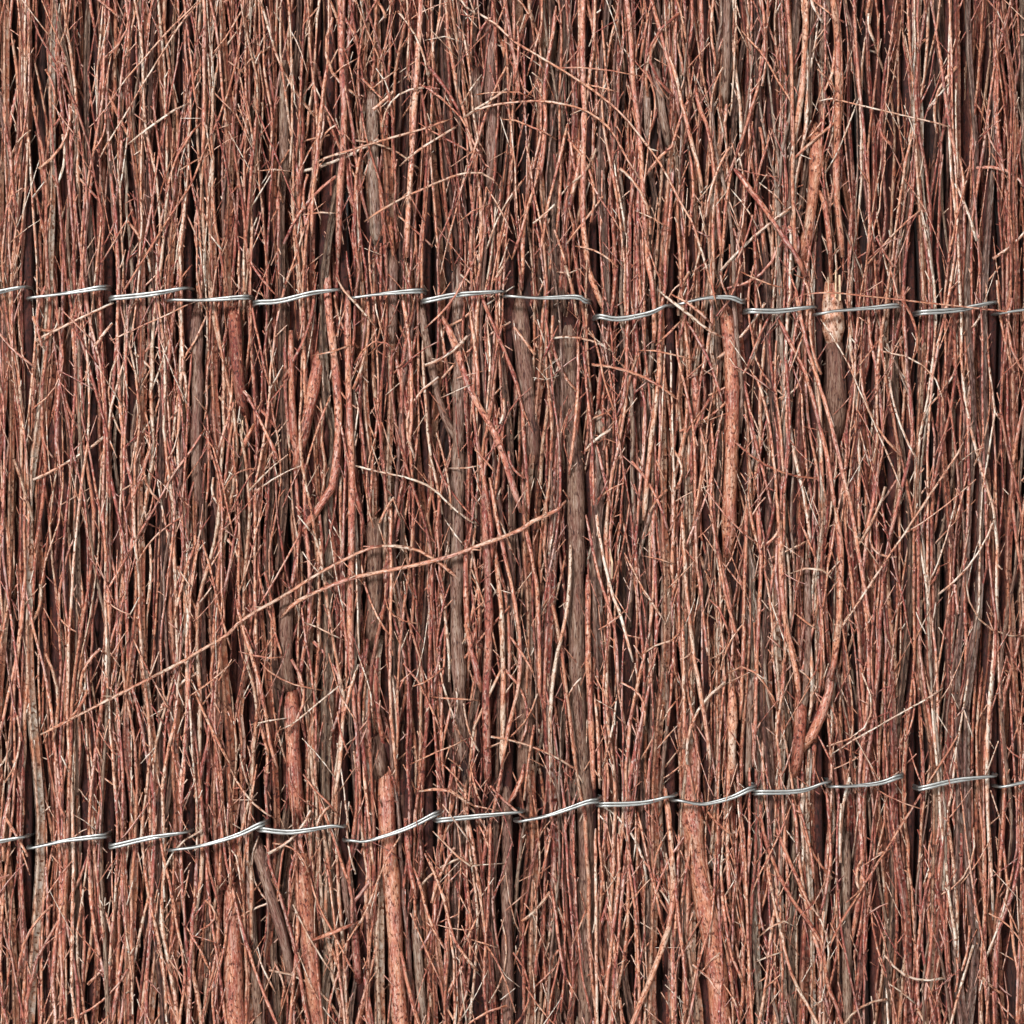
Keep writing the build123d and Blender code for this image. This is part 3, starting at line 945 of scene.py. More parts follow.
class Bundle:
    """One bundle of stems as it is filled, with random draws of its own."""

    def __init__(self, number):
        self.number = number
        self.left, self.right = GAPS[number], GAPS[number + 1]
        self.top = HEIGHT - TOP_DROP * ((number * GOLDEN) % 1)
        self.close = self.right > SEEN_X[0] and self.left < SEEN_X[1]
        in_photo = self.right > PHOTO_X[0] and self.left < PHOTO_X[1]
        self.coarser = 1.0 if in_photo else OUT_OF_PHOTO
        # How young and bright the twigs are. It swings from 0 to 1 and back over ten bundles.
        self.fresh = 0.5 + 0.5 * math.sin(2 * math.pi * (number - 13.75) / 10)
        self.rng = np.random.default_rng(BUNDLE_SEED + number)
        self.sheaf = Sheaf()

    def fill(self):
        """All the stems: thick ones inside, near black with painted shade, then middling ones, then twigs
        at both faces.
        """
        if self.close:
            self.seen_stems()
        self.core_stems()
        self.edge_stems()
        self.middle_stems()
        self.twigs()
        self.cross_twigs()
        return self.sheaf

    def upright(self, z, across, sunk, side, lean, radius, sway, top=HEIGHT):
        """A stem's route up through the bundle.

        Across runs from -1 to 1, and sunk is how far inside the face the stem lies.
        """
        rng = self.rng
        middle, half = (self.left + self.right) / 2, (self.right - self.left) / 2
        squeeze = pinch(middle, z)
        lane = across + lean * (z - z.mean()) / half + wave(rng, z, sway, SIDE_WAVE) / half
        furthest = 1.08 - 0.07 * squeeze
        lane = np.clip(lane, -furthest, furthest)
        x = middle + lane * (half * (1.0 - SQUEEZED * squeeze) - radius * 0.6)
        if side < 0 and SEEN_X[0] < middle < SEEN_X[1]:
            x = round_hollows(x, z)
        sink = np.full(len(z), sunk)
        if side < 0 and rng.random() < BEHIND_SHARE:
            sink = np.maximum(sink, pushed_behind(x, z))
        if z[0] > FOOT_ENDS:
            sink = sink + tucked_in(z - z[0])
        if z[-1] < top - TOP_ENDS:
            sink = sink + tucked_in(z[-1] - z)
        reach = np.maximum(reach_at(middle, z) - sink - radius, DEEPEST)
        wander = wave(rng, z, min(sunk, 1.5 * MM) * 0.3, FACE_WAVE) * (1 - 0.5 * squeeze)
        return np.stack([x, side * (reach + wander), z], axis=-1)

    def side_shoots(self, points, radii, every, close, tone, shade, facing):
        """Short shoots and stubs from a stem, mostly leaning the way it grows.

        Few are made where the camera doesn't see them.
        """
        rng = self.rng
        along = distances(points)
        spots = np.arange(rng.uniform(0.2, 1) * every, along[-1], every)
        spots = spots + rng.uniform(-0.45, 0.45, len(spots)) * every
        if close:
            heights = np.interp(spots, along, points[:, 2])
            seen = (heights > SEEN_Z[0]) & (heights < SEEN_Z[1])
            spots = spots[seen | (rng.random(len(spots)) < UNSEEN_SHOOTS)]
        if not len(spots):
            return
        count = len(spots)
        start = places_along(points, along, spots)
        ahead = places_along(points, along, spots + 2 * MM)
        parent = np.interp(spots, along, radii)
        way = unit(ahead - start + (0, 0, 1e-6)) * rng.choice([1, -1], p=[0.78, 0.22])
        turn = rng.uniform(0, 2 * np.pi, count)
        side = np.stack([np.cos(turn), 0.5 * np.sin(turn) + 0.4 * facing, 0 * turn], axis=-1)
        side = unit(side - way * np.sum(side * way, axis=1, keepdims=True))
        angle = rng.uniform(*SHOOT_LEANS, count)[:, None]
        long = rng.random(count) < LONG_SHARE
        reach = rng.exponential(np.where(long, LONG_SHOOT, SHORT_SHOOT) * MM) + LEAST_SHOOT
        reach = np.minimum(reach, MOST_SHOOT) * (1 if close else 1.4)
        line = way * np.cos(angle) + side * np.sin(angle)
        bend = way * (rng.uniform(-0.3, 0.8, count) * reach)[:, None]
        base = np.minimum(parent * 0.8, rng.uniform(*SHOOT_RADII, count) * MM)
        tones = np.clip(tone + rng.normal(0.1, 0.25, count), 0, 1)
        shades = np.clip(shade + rng.normal(0.2, 0.15, count), 0, 1)
        for some, rings in ((long, 4 if close else 2), (~long, 2)):
            if some.any():
                steps = np.linspace(0, 1, rings)[None, :, None]
                route = (start[some, None] + (line * reach[:, None])[some, None] * steps
                         + bend[some, None] * steps ** 2)
                thick = base[some, None] * np.linspace(1, 0.6, rings)[None]
                self.sheaf.add(kept_close(route), thick, 3, tones[some], shades[some])

    def seen_stems(self):
        """The stems of this bundle that the photograph shows, and how they run on out of it."""
        for stems, *look in SEEN_KINDS:
            for width, *places in stems:
                places = np.array(places, float).reshape(-1, 2)
                if self.left <= at_pixel(places[:, 0].mean(), 0)[0] < self.right:
                    thick = width > 8 and stems is not STUB
                    self.seen_stem(width, run_on(self.rng, places), thick, *look)

    def seen_stem(self, width, places, thick, sunk, tone, shade, bark):
        """One stem that the photograph shows, from its width and places in pixels."""
        rng = self.rng
        radius = width * PIXEL / 2 * np.interp(width, READ_WIDTHS, TRUE_SHARES)
        x, z = at_pixel(places[:, 0], places[:, 1])
        flat = np.stack([x, 0 * x, z], axis=-1)
        line = smooth_line(flat, (2.4 if width < 8 else 3.5) * MM)
        share = np.linspace(0, 1, len(line))
        from_end = np.minimum(share, 1 - share)
        if sunk is None:
            near = np.clip(from_end / 0.12, 0, 1)
            line[:, 1] = -(WIRE_Y + 0.7 * MM + radius - 2.2 * MM * (1 - near) ** 2)
        else:
            deep = max(sunk * MM + rng.uniform(0, 0.7) * MM, (width - 5) * 0.1 * MM)
            depth, length = (3.4 * MM, 0.2) if thick else (1.2 * MM, 0.08)
            ends = depth * np.clip(1 - from_end / length, 0, 1) ** 2
            reach = reach_at(line[:, 0], line[:, 2]) - radius - deep - ends
            line[:, 1] = -reach + wave(rng, line[:, 2], 0.2 * MM, 60 * MM)
        if width < 8:
            line = knotty(rng, line, 0.05 * MM)
        radii = radius * (1 + rng.normal(0, 0.07, len(line))) * rng.uniform(0.95, 1.05)
        radii[[0, -1]] *= 0.9 if thick else 0.55
        redder = 0.35 if sunk is None and width > 5 else 0
        darker = 0.03 * min(max(width - 7, 0), 8)
        tone = np.clip(tone - redder + rng.normal(0, 0.06 if width > 12 else 0.2), 0, 1)
        shade = np.clip(shade - darker + rng.normal(0, 0.08), 0, 1)
        self.sheaf.add(line, radii, 5 if width < 7 else 9, tone, shade, bark)
        if bark == YOUNG and width > 3:
            self.side_shoots(line, radii, SEEN_SHOOTS * MM, True, tone, shade, -1)

    def core_stems(self):
        """Thick stems inside each face, near black with painted shade for the mat's dark inside."""
        rng, size = self.rng, sizes()
        for place in range(size.thick_count):
            for side in (-1, 1):
                offset = 0.25 if side < 0 else 0.75
                across = (place + offset + rng.uniform(-0.15, 0.15)) / size.thick_count * 2 - 1
                high = self.top - rng.uniform(0, 40) * MM
                z = ring_heights(0.0, high, *CORE_RINGS, self.close)
                base = size.thick_stem / 2 * rng.uniform(0.8, 1.1)
                points = self.upright(z, across, 3.9 * MM, side, 0.0, base, 0.5 * MM)
                radii = taper(rng, len(z), base, base * 0.7)
                # Near black: painted shade deep in the mat.
                self.sheaf.add(points, radii, 5, rng.uniform(0, 0.3), rng.uniform(0.0, 0.03),
                               AGED if rng.random() < 0.2 else YOUNG)

    def edge_stems(self):
        """Stems in the gap before the bundle, and after the last bundle too, near black with painted shade
        so that the gaps look deep.
        """
        rng = self.rng
        edges = (self.left, self.right) if self.number == BUNDLES - 1 else (self.left,)
        for edge in edges:
            for side in (-1, 1):
                z = ring_heights(0.0, self.top - 30 * MM, *CORE_RINGS, self.close)
                inward = math.copysign(1, edge) if abs(edge) > MAT_HIGH.x - MM else 0
                x = edge - inward * 1.5 * MM + side * 0.8 * MM + wave(rng, z, 0.3 * MM, FACE_WAVE)
                y = side * 1.6 * MM + wave(rng, z, 0.3 * MM, FACE_WAVE)
                base = sizes().middle_stem / 2 * 1.4
                points = np.stack([x, y, z], axis=-1)
                # Near black: painted shade in the gap.
                self.sheaf.add(points, taper(rng, len(z), base, base), 5, 0.1, 0.01)

    def middle_stems(self):
        """Middling stems at each face, one length above another."""
        count = sizes().middle_count
        for place in range(count):
            for side in (-1, 1):
                low = 0.0
                while low < self.top - 60 * MM:
                    low = self.middle_stem(low, place, count, side)

    def middle_stem(self, low, place, count, side):
        """One middling stem, and where the next above it starts."""
        rng, top = self.rng, self.top
        near = self.close and side < 0
        high = min(low + rng.uniform(*MIDDLE_LENGTHS), top - rng.uniform(0, 15) * MM)
        across = (place + rng.uniform(0.05, 0.95)) / count * 2 - 1
        z = ring_heights(low, high, MIDDLE_RINGS[0] * self.coarser, MIDDLE_RINGS[1], near)
        base = sizes().middle_stem / 2 * rng.uniform(0.6, 1.3)
        sunk = rng.uniform(0.9, 3.2) * MM
        points = self.upright(z, across, sunk, side, rng.normal(0, 0.03), base, 1.2 * MM, top)
        radii = taper(rng, len(z), base, base * 0.5)
        tone = rng.random() ** (1.3 - 0.3 * self.fresh)
        # Deeper stems are darker: painted shade for the inside of the mat.
        shade = rng.uniform(0.3, 0.9) * (1.05 + 0.2 * self.fresh - sunk / (4.5 * MM))
        bark = AGED if rng.random() < 0.35 else YOUNG
        self.sheaf.add(points, radii, (6 if near else 4), tone, shade, bark)
        every = MIDDLE_SHOOTS[0] * self.coarser if near else MIDDLE_SHOOTS[1]
        self.side_shoots(points, radii, every * MM, near, tone, shade, side)
        return high - rng.uniform(0, 120) * MM if high < top - 80 * MM else top

    def twigs(self):
        """Thin twigs at both faces, one above another, and more at the front."""
        rng, count = self.rng, sizes().twig_count
        for place in range(count):
            side = -1 if place < count * FRONT_SHARE else 1
            low = rng.uniform(-100, 20) * MM
            while low < self.top - 30 * MM:
                high = min(low + rng.uniform(*TWIG_LENGTHS), self.top - rng.exponential(6) * MM)
                start = max(low, 0.0)
                if high - start > 20 * MM:
                    self.twig(start, high, side)
                low = high + rng.uniform(-50, 30) * MM

    def twig(self, start, high, side):
        """One thin twig with its side shoots."""
        rng = self.rng
        near = self.close and side < 0
        z = ring_heights(start, high, TWIG_RINGS[0] * self.coarser, TWIG_RINGS[1], near)
        base = sizes().twig / 2 * rng.uniform(0.6, 1.4)
        sunk = (0.9 + 4.2 * rng.random() ** 1.5 if near else rng.uniform(0.1, 2.6)) * MM
        lean = rng.normal(0, 0.075 if high - start > 0.12 else 0.2)
        across = rng.uniform(-1.05, 1.05)
        points = self.upright(z, across, sunk, side, lean, base, 1.9 * MM, self.top)
        if near:
            points = knotty(rng, points, 0.11 * MM)
        radii = taper(rng, len(z), base, base * 0.6)
        radii[0] *= 0.6
        tone = 0.95 * rng.random() ** (1.6 - 0.4 * self.fresh)
        # Deeper twigs are darker: painted shade for the inside of the mat.
        shade = rng.uniform(0.42, 1) * (1.08 + 0.12 * self.fresh - sunk / (4.8 * MM))
        shade = max(shade, 0.1)
        self.sheaf.add(points, radii, 3, tone, shade, AGED if rng.random() < 0.1 else YOUNG)
        if near or rng.random() < 0.5:
            every = TWIG_SHOOTS[0] * MM * self.coarser if near else TWIG_SHOOTS[1] * MM
            self.side_shoots(points, radii, every, near, tone, shade, side)

    def cross_twigs(self):
        """Thin loose twigs that lie across the rest at a slant."""
        rng = self.rng
        for _ in range(CROSS_TWIGS):
            z = rng.uniform(5 * MM, self.top - 10 * MM)
            x = rng.uniform(self.left, self.right)
            side = -1 if rng.random() < FRONT_SHARE else 1
            seen = self.close and side < 0 and SEEN_Z[0] < z < SEEN_Z[1]
            if seen or rng.random() < UNSEEN_CROSS_TWIGS:
                length = rng.uniform(*CROSS_LENGTHS) * MM
                slant = rng.normal(0, 0.5)
                steps = np.linspace(-0.5, 0.5, 6 if seen else 3)[:, None]
                way = np.array([math.sin(slant), 0, math.cos(slant)])
                bow = np.array([math.cos(slant), 0, -math.sin(slant)]) * rng.normal(0, 0.12) * length
                points = np.array([x, 0, z]) + way * steps * length + bow * (4 * steps ** 2 - 1)
                sunk = rng.uniform(*CROSS_DEPTHS) * MM
                points[:, 1] = side * (reach_at(x, points[:, 2]) - sunk)
                if np.all(np.abs(points[:, 0]) < MAT_HIGH.x + 2 * MM):
                    radii = np.full(len(points), rng.uniform(*CROSS_RADII) * MM)
                    self.sheaf.add(points, radii, 3, rng.uniform(0.2, 1), rng.uniform(0.4, 1))


# Wires

STITCH_SEED = 9000
TAIL = 0.4 * MM

# How far out a wire pair is between two bundles, and how far in from its full reach as it turns
# round a bundle's edge
WIRE_CROSSES = 2.0 * MM
WIRE_TURNS = 0.9 * MM

# How far the middle of each wire is from the middle of its pair, in diameters
WIRE_APART = 0.52


def stitch(row, number):
    """The line that a stitch follows over the front of a bundle, as x and z."""
    seen = number - FIRST_SEEN_STITCH
    for seen_row, stitches in ((LOWER_SEEN_ROW, LOWER_STITCHES), (UPPER_SEEN_ROW, UPPER_STITCHES)):
        if row == seen_row and 0 <= seen < len(stitches):
            return [at_pixel(*pixel) for pixel in stitches[seen]]
    rng = np.random.default_rng(STITCH_SEED + row * 100 + number)
    jitter = rng.uniform(-0.7, 0.7, 3) * MM
    start, end = GAPS[number], GAPS[number + 1]
    if number == 0:
        start -= TAIL
    if number == BUNDLES - 1:
        end += TAIL
    middle = (start + end) / 2
    return [(start, row_height(row, start) - CROSSING),
            (middle + jitter[0], row_height(row, middle) + jitter[1] * 0.7),
            (end, row_height(row, end) + CROSSING)]


def back_run(row, number):
    """The line that a wire pair follows behind a bundle, from the stitch before to the one after."""
    run = stitch(row, number)
    (x0, z0), (x1, z1) = run[0], run[-1]
    before = stitch(row, number - 1)[-1][1] if number else z0
    after = stitch(row, number + 1)[0][1] if number < BUNDLES - 1 else z1
    middle = 0.3 * (before + after) + 0.4 * (z0 + z1) / 2
    return [(x0, before), ((x0 + x1) / 2, middle), (x1, after)]


def pair_line(row, first):
    """The middle line of a wire pair, and how far round the pair is rolled at each point."""
    points = []
    rolls = []
    for number in range(BUNDLES):
        in_front = (number + row + first) % 2 == 0
        run = stitch(row, number) if in_front else back_run(row, number)
        (x0, z0), (x1, z1) = run[0], run[-1]
        climb = 0.05 * (z1 - z0)
        way_in = [(x0 - 0.1 * MM, WIRE_CROSSES, z0, 0),
                  (x0 + 0.35 * MM, WIRE_Y - WIRE_TURNS, z0, 0),
                  (x0 + 1.3 * MM, WIRE_Y, z0 + climb, 0)]
        over = [(x, WIRE_Y, z, 90 * ((x - x0) / (x1 - x0)) ** 2) for x, z in run[1:-1]]
        way_out = [(x1 - 1.3 * MM, WIRE_Y, z1 - climb, 80),
                   (x1 - 0.35 * MM, WIRE_Y - WIRE_TURNS, z1, 86),
                   (x1 + 0.1 * MM, WIRE_CROSSES, z1, 90)]
        for x, out, z, roll in way_in + over + way_out:
            points.append((x, -out if in_front else out, z))
            rolls.append(90 * number + roll)
    return np.array(points), np.radians(rolls)


def wire_sheaf(row, first):
    """The two wires of a pair, lying against each other and rolling over once in four bundles."""
    seen = row in (LOWER_SEEN_ROW, UPPER_SEEN_ROW)
    points, rolls = pair_line(row, first)
    line = smooth_line(points, (1.1 if seen else 2.8) * MM)
    along, line_along = distances(points), distances(line)
    roll = np.interp(line_along / line_along[-1], along / along[-1], rolls)[:, None]
    way = unit(np.gradient(line, axis=0))
    upward = unit(np.cross(np.cross(way, (0.0, 0.0, 1.0)), way))
    outward = np.cross(way, upward)
    apart = upward * np.cos(roll) + outward * np.sin(roll)
    size = sizes().wire
    sheaf = Sheaf()
    for side in (-1, 1):
        centre = line + apart * side * size * WIRE_APART
        sheaf.add(centre, np.full(len(centre), size / 2), 7 if seen else 4, 0.5, 0.5)
    return sheaf


# Materials

class Nodes:
    """A node tree that is wired up as it is written."""

    def __init__(self, tree):
        self.tree = tree

    def give(self, socket, value):
        if isinstance(value, bpy.types.NodeSocket):
            self.tree.links.new(value, socket)
        else:
            socket.default_value = value

    def add(self, kind, settings=None, **inputs):
        """A node with its settings. Its inputs go by name, or by number after a low line."""
        node = self.tree.nodes.new(kind)
        for key, value in (settings or {}).items():
            setattr(node, key, value)
        for key, value in inputs.items():
            self.give(node.inputs[int(key[1:]) if key[0] == "_" else key.replace("_", " ")], value)
        return node

    def maths(self, operation, a, b=0.0, clamp=False):
        settings = {"operation": operation, "use_clamp": clamp}
        return self.add("ShaderNodeMath", settings, _0=a, _1=b).outputs[0]

    def times(self, a, b):
        return self.maths("MULTIPLY", a, b)

    def vector(self, operation, a, b):
        return self.add("ShaderNodeVectorMath", {"operation": operation}, _0=a, _1=b).outputs[0]

    def combined(self, x, y, z):
        return self.add("ShaderNodeCombineXYZ", None, _0=x, _1=y, _2=z).outputs[0]

    def noise(self, vector, scale, detail, roughness=0.5):
        return self.add("ShaderNodeTexNoise", None, Vector=vector, Scale=scale, Detail=detail,
                        Roughness=roughness).outputs[0]

    def attribute(self, name):
        return self.add("ShaderNodeAttribute", {"attribute_name": name}).outputs["Fac"]

    def mix(self, share, a, b, blend="MIX"):
        node = self.add("ShaderNodeMix", {"data_type": "RGBA", "blend_type": blend}, _0=share)
        for socket, value in ((6, a), (7, b)):
            sent = isinstance(value, bpy.types.NodeSocket)
            self.give(node.inputs[socket], value if sent else (*value, 1))
        return node.outputs[2]

    def stretch(self, value, low, high, to_low=0.0, to_high=1.0):
        node = self.add("ShaderNodeMapRange", None, Value=value, From_Min=low, From_Max=high,
                        To_Min=to_low, To_Max=to_high)
        return node.outputs[0]


BARK_INPUTS = ("Fineness", "Length")
BARK_MASKS = ("Fibres", "Patches", "Streaks", "Flecks", "Painted shading", "Scars")

# How far apart on the noise two stems of different shades lie
SHADE_APART = 97.0


def bark_group():
    """Masks for bark, from a stem's own map.

    Fibres, patches, streaks and flecks run along the stem, scars lie across it, and painted shading
    lightens its faces toward the front and back of the screen and darkens its sides.
    """
    group = bpy.data.node_groups.new("Bark fibres", "ShaderNodeTree")
    for way, names in (("INPUT", BARK_INPUTS), ("OUTPUT", BARK_MASKS)):
        for name in names:
            group.interface.new_socket(name, in_out=way, socket_type="NodeSocketFloat")
    nodes = Nodes(group)
    given = nodes.add("NodeGroupInput").outputs
    bark = nodes.add("ShaderNodeUVMap", {"uv_map": "Bark"}).outputs[0]
    split = nodes.add("ShaderNodeSeparateXYZ", None, _0=bark).outputs
    turn = nodes.times(split[0], 2 * math.pi)
    cosine, sine = nodes.maths("COSINE", turn), nodes.maths("SINE", turn)
    around = nodes.times(nodes.attribute("girth"), given["Fineness"])
    place = nodes.combined(nodes.times(cosine, around), nodes.times(sine, around),
                           nodes.times(split[1], given["Length"]))
    apart = nodes.combined(0.0, 0.0, nodes.times(nodes.attribute("shade"), SHADE_APART))
    place = nodes.vector("ADD", place, apart)
    drawn_out = nodes.vector("MULTIPLY", place, (0.8, 0.8, 0.16))
    drawn_in = nodes.vector("MULTIPLY", place, (0.9, 0.9, 1.9))
    # Where each noise is taken, its scale, detail and roughness, and the values that are 0 and 1
    noises = {
        "Fibres": (place, 1.0, 4.0, 0.7, 0.33, 0.67),
        "Patches": (place, 0.22, 2.0, 0.5, 0.35, 0.65),
        "Streaks": (drawn_out, 1.0, 3.0, 0.5, 0.5, 0.68),
        "Flecks": (place, 1.7, 1.0, 0.5, 0.56, 0.65),
        "Scars": (drawn_in, 1.0, 2.0, 0.5, 0.56, 0.64),
    }
    out = nodes.add("NodeGroupOutput").inputs
    for name, (where, scale, detail, roughness, low, high) in noises.items():
        noise = nodes.noise(where, scale, detail, roughness)
        nodes.give(out[name], nodes.stretch(noise, low, high))
    # Painted shading: 1 on the faces toward the front and back of the screen, 0 on the sides
    nodes.give(out["Painted shading"], nodes.maths("POWER", sine, 2.0))
    return group


def new_material(name):
    material = bpy.data.materials.new(name)
    material.use_nodes = True
    material.node_tree.nodes.clear()
    return material, Nodes(material.node_tree)


def finish_material(nodes, colour, roughness, height, distance, metallic=0.0):
    bump = nodes.add("ShaderNodeBump", None, Height=height, Strength=0.8, Distance=distance)
    surface = nodes.add("ShaderNodeBsdfPrincipled", None, Base_Color=colour, Roughness=roughness,
                        Metallic=metallic, Normal=bump.outputs[0])
    nodes.add("ShaderNodeOutputMaterial", None, Surface=surface.outputs[0])


def bark_material(name, group, barks, cream, fineness, length, contrast, distance):
    """Bark whose colour goes by the stem's tone from the first of the barks to the last."""
    material, nodes = new_material(name)
    mask = nodes.add("ShaderNodeGroup", {"node_tree": group}, Fineness=fineness,
                     Length=length).outputs
    fibres = mask["Fibres"]
    tone, shade = nodes.attribute("tone"), nodes.attribute("shade")
    shift = nodes.times(nodes.maths("SUBTRACT", mask["Patches"], 0.5), 0.6)
    tone = nodes.maths("ADD", tone, shift, True)
    colour = barks[0]
    steps = len(barks) - 1
    for step, after in enumerate(barks[1:]):
        share = nodes.stretch(tone, step / steps, (step + 1) / steps)
        colour = nodes.mix(share, colour, after)
    light = nodes.maths("MAXIMUM", nodes.times(mask["Streaks"], 0.45), nodes.times(mask["Flecks"], 0.5))
    colour = nodes.mix(light, colour, cream)

    # The stem's shade brings painted shade for deep stems into the bark's brightness.
    bright = nodes.stretch(shade, 0.0, 1.0, 0.045, 1.1)
    # Painted shading makes each stem's sides darker and its front and back lighter.
    ranges = {"Scars": (1.15, 0.2), "Painted shading": (0.74, 1.08), "Fibres": (1 - contrast, 1 + contrast)}
    for key, (without, full) in ranges.items():
        bright = nodes.times(bright, nodes.stretch(mask[key], 0.0, 1.0, without, full))
    # The brightest bark is held back, so that it doesn't bleach out.
    held_back = nodes.maths("ADD", nodes.times(bright, 0.75), 1.0)
    bright = nodes.maths("DIVIDE", nodes.times(bright, 1.7), held_back)
    # Dark bark is redder than bright bark, and painted shade is painted redder too, like light bounced
    # between red stems.
    tint = nodes.add("ShaderNodeCombineColor", None, _0=bright, _1=nodes.maths("POWER", bright, 1.56),
                     _2=nodes.maths("POWER", bright, 1.95))
    colour = nodes.mix(1.0, colour, tint.outputs[0], "MULTIPLY")
    rough = nodes.maths("ADD", nodes.stretch(fibres, 0.0, 1.0, 0.1, -0.1),
                        nodes.stretch(shade, 0.05, 0.7, 0.88, 0.52))
    finish_material(nodes, colour, rough, fibres, distance)
    return material


def wood_material():
    """Wood at cut and broken ends, paler and darker by its grain."""
    material, nodes = new_material("Cut wood")
    place = nodes.add("ShaderNodeTexCoord").outputs["Object"]
    grain = nodes.noise(place, 900.0, 3.0)
    wood = list(colours().wood)
    colour = nodes.mix(nodes.stretch(grain, 0.35, 0.65), [part * 0.55 for part in wood], wood)
    finish_material(nodes, colour, nodes.stretch(grain, 0.3, 0.7, 0.6, 0.85), grain, 0.05 * MM)
    return material


def zinc_material():
    """Galvanised wire: bright, with duller clouds and fine drawing marks."""
    material, nodes = new_material("Galvanised wire")
    place = nodes.add("ShaderNodeTexCoord").outputs["Object"]
    clouds, marks = nodes.noise(place, 700.0, 3.0), nodes.noise(place, 2600.0, 2.0)
    zinc = list(colours().zinc)
    colour = nodes.mix(nodes.stretch(clouds, 0.35, 0.65), [part * 0.72 for part in zinc], zinc)
    rough = nodes.stretch(clouds, 0.3, 0.7, 0.52, 0.38)
    finish_material(nodes, colour, rough, marks, 0.01 * MM, metallic=1.0)
    return material


# Cream for pale streaks and flecks on young and old bark, and old bark from dark red-brown to grey-green
# as shares of its colour
YOUNG_CREAM = (0.63, 0.56, 0.49)
OLD_CREAM = (0.42, 0.325, 0.265)
OLD_BARKS = ((0.75, 0.5, 0.5), (1.0, 1.0, 1.0), (1.15, 1.32, 1.28))
made = {}


def materials():
    if not made:
        group = bark_group()
        tint = colours()
        young = [list(bark) for bark in (tint.red, tint.young, tint.orange, tint.pale)]
        old = [[part * scale for part, scale in zip(tint.old, scales)] for scales in OLD_BARKS]
        made["young"] = bark_material("Young heather bark", group, young, YOUNG_CREAM, 2.6, 750.0,
                                      0.68, 0.05 * MM)
        made["old"] = bark_material("Old heather bark", group, old, OLD_CREAM, 3.6, 420.0,
                                    0.95, 0.18 * MM)
        made["wood"] = wood_material()
        made["zinc"] = zinc_material()
    return made


# Operators

class HEATHER_OT_bundles(bpy.types.Operator):
    """Make every bundle of stems, with its twigs and side shoots"""

    bl_idname = "heather.bundles"
    bl_label = "Heather bundles"

    def execute(self, context):
        barks = [materials()[key] for key in ("young", "old", "wood")]
        for number in range(BUNDLES):
            piece = Bundle(number).fill().join(f"bundle_{number + 1:02d}", barks)
            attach(piece, "root")
            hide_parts("heather_mat")
        return {"FINISHED"}


class HEATHER_OT_wires(bpy.types.Operator):
    """Make the rows of twined galvanised wire"""

    bl_idname = "heather.wires"
    bl_label = "Wire rows"

    def execute(self, context):
        zinc = materials()["zinc"]
        for row in range(ROWS):
            for first, letter in enumerate("ab"):
                name = f"row_{row + 1:02d}_wires_{letter}"
                piece = wire_sheaf(row, first).join(name, [zinc] * 3)
                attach(piece, "root")
                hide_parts(f"row_{row + 1:02d}_wire_pair_{letter}")
        return {"FINISHED"}


# The lights: where each is, how wide in metres, and its power in watts
LIGHTS = (
    ("Key light", (-0.9, -2.1, 1.8), 0.6, 114),
    ("Fill light", (1.6, -1.7, 0.9), 1.0, 7),
    ("Back light left", (-1.5, 1.9, 1.7), 1.2, 40),
    ("Back light right", (1.7, 1.6, 1.2), 1.2, 20),
)


def make_floor():
    bpy.ops.object.select_all(action="DESELECT")
    bpy.ops.mesh.primitive_plane_add(size=30)
    floor = bpy.context.object
    floor.name = "floor"
    material, nodes = new_material("Pale floor")
    surface = nodes.add("ShaderNodeBsdfPrincipled", None, Base_Color=(0.8, 0.8, 0.79, 1),
                        Roughness=0.7)
    nodes.add("ShaderNodeOutputMaterial", None, Surface=surface.outputs[0])
    floor.data.materials.append(material)


def soft_light(name, place, width, power):
    """A square light that shines on the middle of what the camera sees."""
    light = bpy.data.lights.new(name, "AREA")
    light.shape = "SQUARE"
    light.size = width
    light.energy = power
    lamp = bpy.data.objects.new(name, light)
    lamp.location = place
    aim = Vector((0, 0, WINDOW_HEIGHT)) - Vector(place)
    lamp.rotation_euler = aim.to_track_quat("-Z", "Y").to_euler()
    bpy.context.scene.collection.objects.link(lamp)


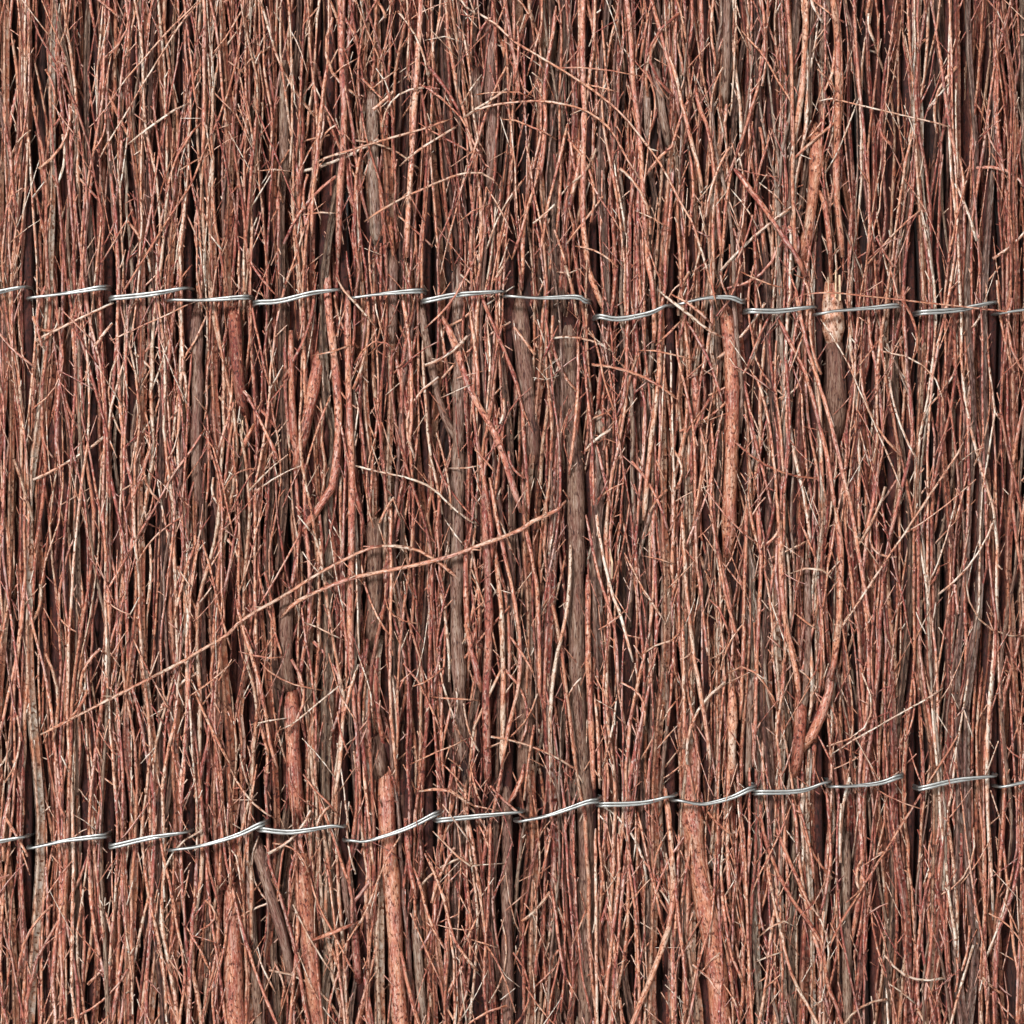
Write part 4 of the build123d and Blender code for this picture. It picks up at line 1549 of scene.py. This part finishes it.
def make_world():
    world = bpy.data.worlds.new("Studio")
    world.use_nodes = True
    background = world.node_tree.nodes["Background"]
    background.inputs[0].default_value = (1, 1, 1, 1)
    background.inputs[1].default_value = 0.1
    bpy.context.scene.world = world


def make_camera():
    """A camera square to the face, from which the window fills the frame."""
    camera = bpy.data.objects.new("Camera", bpy.data.cameras.new("Camera"))
    camera.data.lens = LENS
    camera.data.sensor_width = SENSOR
    away = PIXELS * PIXEL * LENS / SENSOR
    camera.location = (0, -WIRE_Y - away, WINDOW_HEIGHT)
    camera.rotation_euler = (math.radians(90), 0, 0)
    bpy.context.scene.collection.objects.link(camera)
    bpy.context.scene.camera = camera


class HEATHER_OT_stage(bpy.types.Operator):
    """Make the floor, the lights and the camera"""

    bl_idname = "heather.stage"
    bl_label = "Studio"

    def execute(self, context):
        make_floor()
        make_world()
        for light in LIGHTS:
            soft_light(*light)
        make_camera()
        context.scene.view_settings.view_transform = "Standard"
        return {"FINISHED"}


class HEATHER_PT_panel(bpy.types.Panel):
    """Shows the settings, and what makes the screen from them"""

    bl_idname = "HEATHER_PT_panel"
    bl_label = "Heather screen"
    bl_space_type = "VIEW_3D"
    bl_region_type = "UI"
    bl_category = "Heather"

    def draw(self, context):
        for group in (context.scene.heather_sizes, context.scene.heather_colours):
            for key in group.bl_rna.properties.keys():
                if key not in ("rna_type", "name"):
                    self.layout.prop(group, key)
        for operator in (HEATHER_OT_bundles, HEATHER_OT_wires, HEATHER_OT_stage):
            self.layout.operator(operator.bl_idname)


CLASSES = (HeatherSizes, HeatherColours, HEATHER_OT_bundles, HEATHER_OT_wires, HEATHER_OT_stage,
           HEATHER_PT_panel)


def register():
    for cls in CLASSES:
        bpy.utils.register_class(cls)
    bpy.types.Scene.heather_sizes = PointerProperty(type=HeatherSizes)
    bpy.types.Scene.heather_colours = PointerProperty(type=HeatherColours)


def unregister():
    del bpy.types.Scene.heather_colours
    del bpy.types.Scene.heather_sizes
    for cls in reversed(CLASSES):
        bpy.utils.unregister_class(cls)


def main():
    register()
    bpy.ops.heather.bundles()
    bpy.ops.heather.wires()
    bpy.ops.heather.stage()


if __name__ == "__main__":
    main()
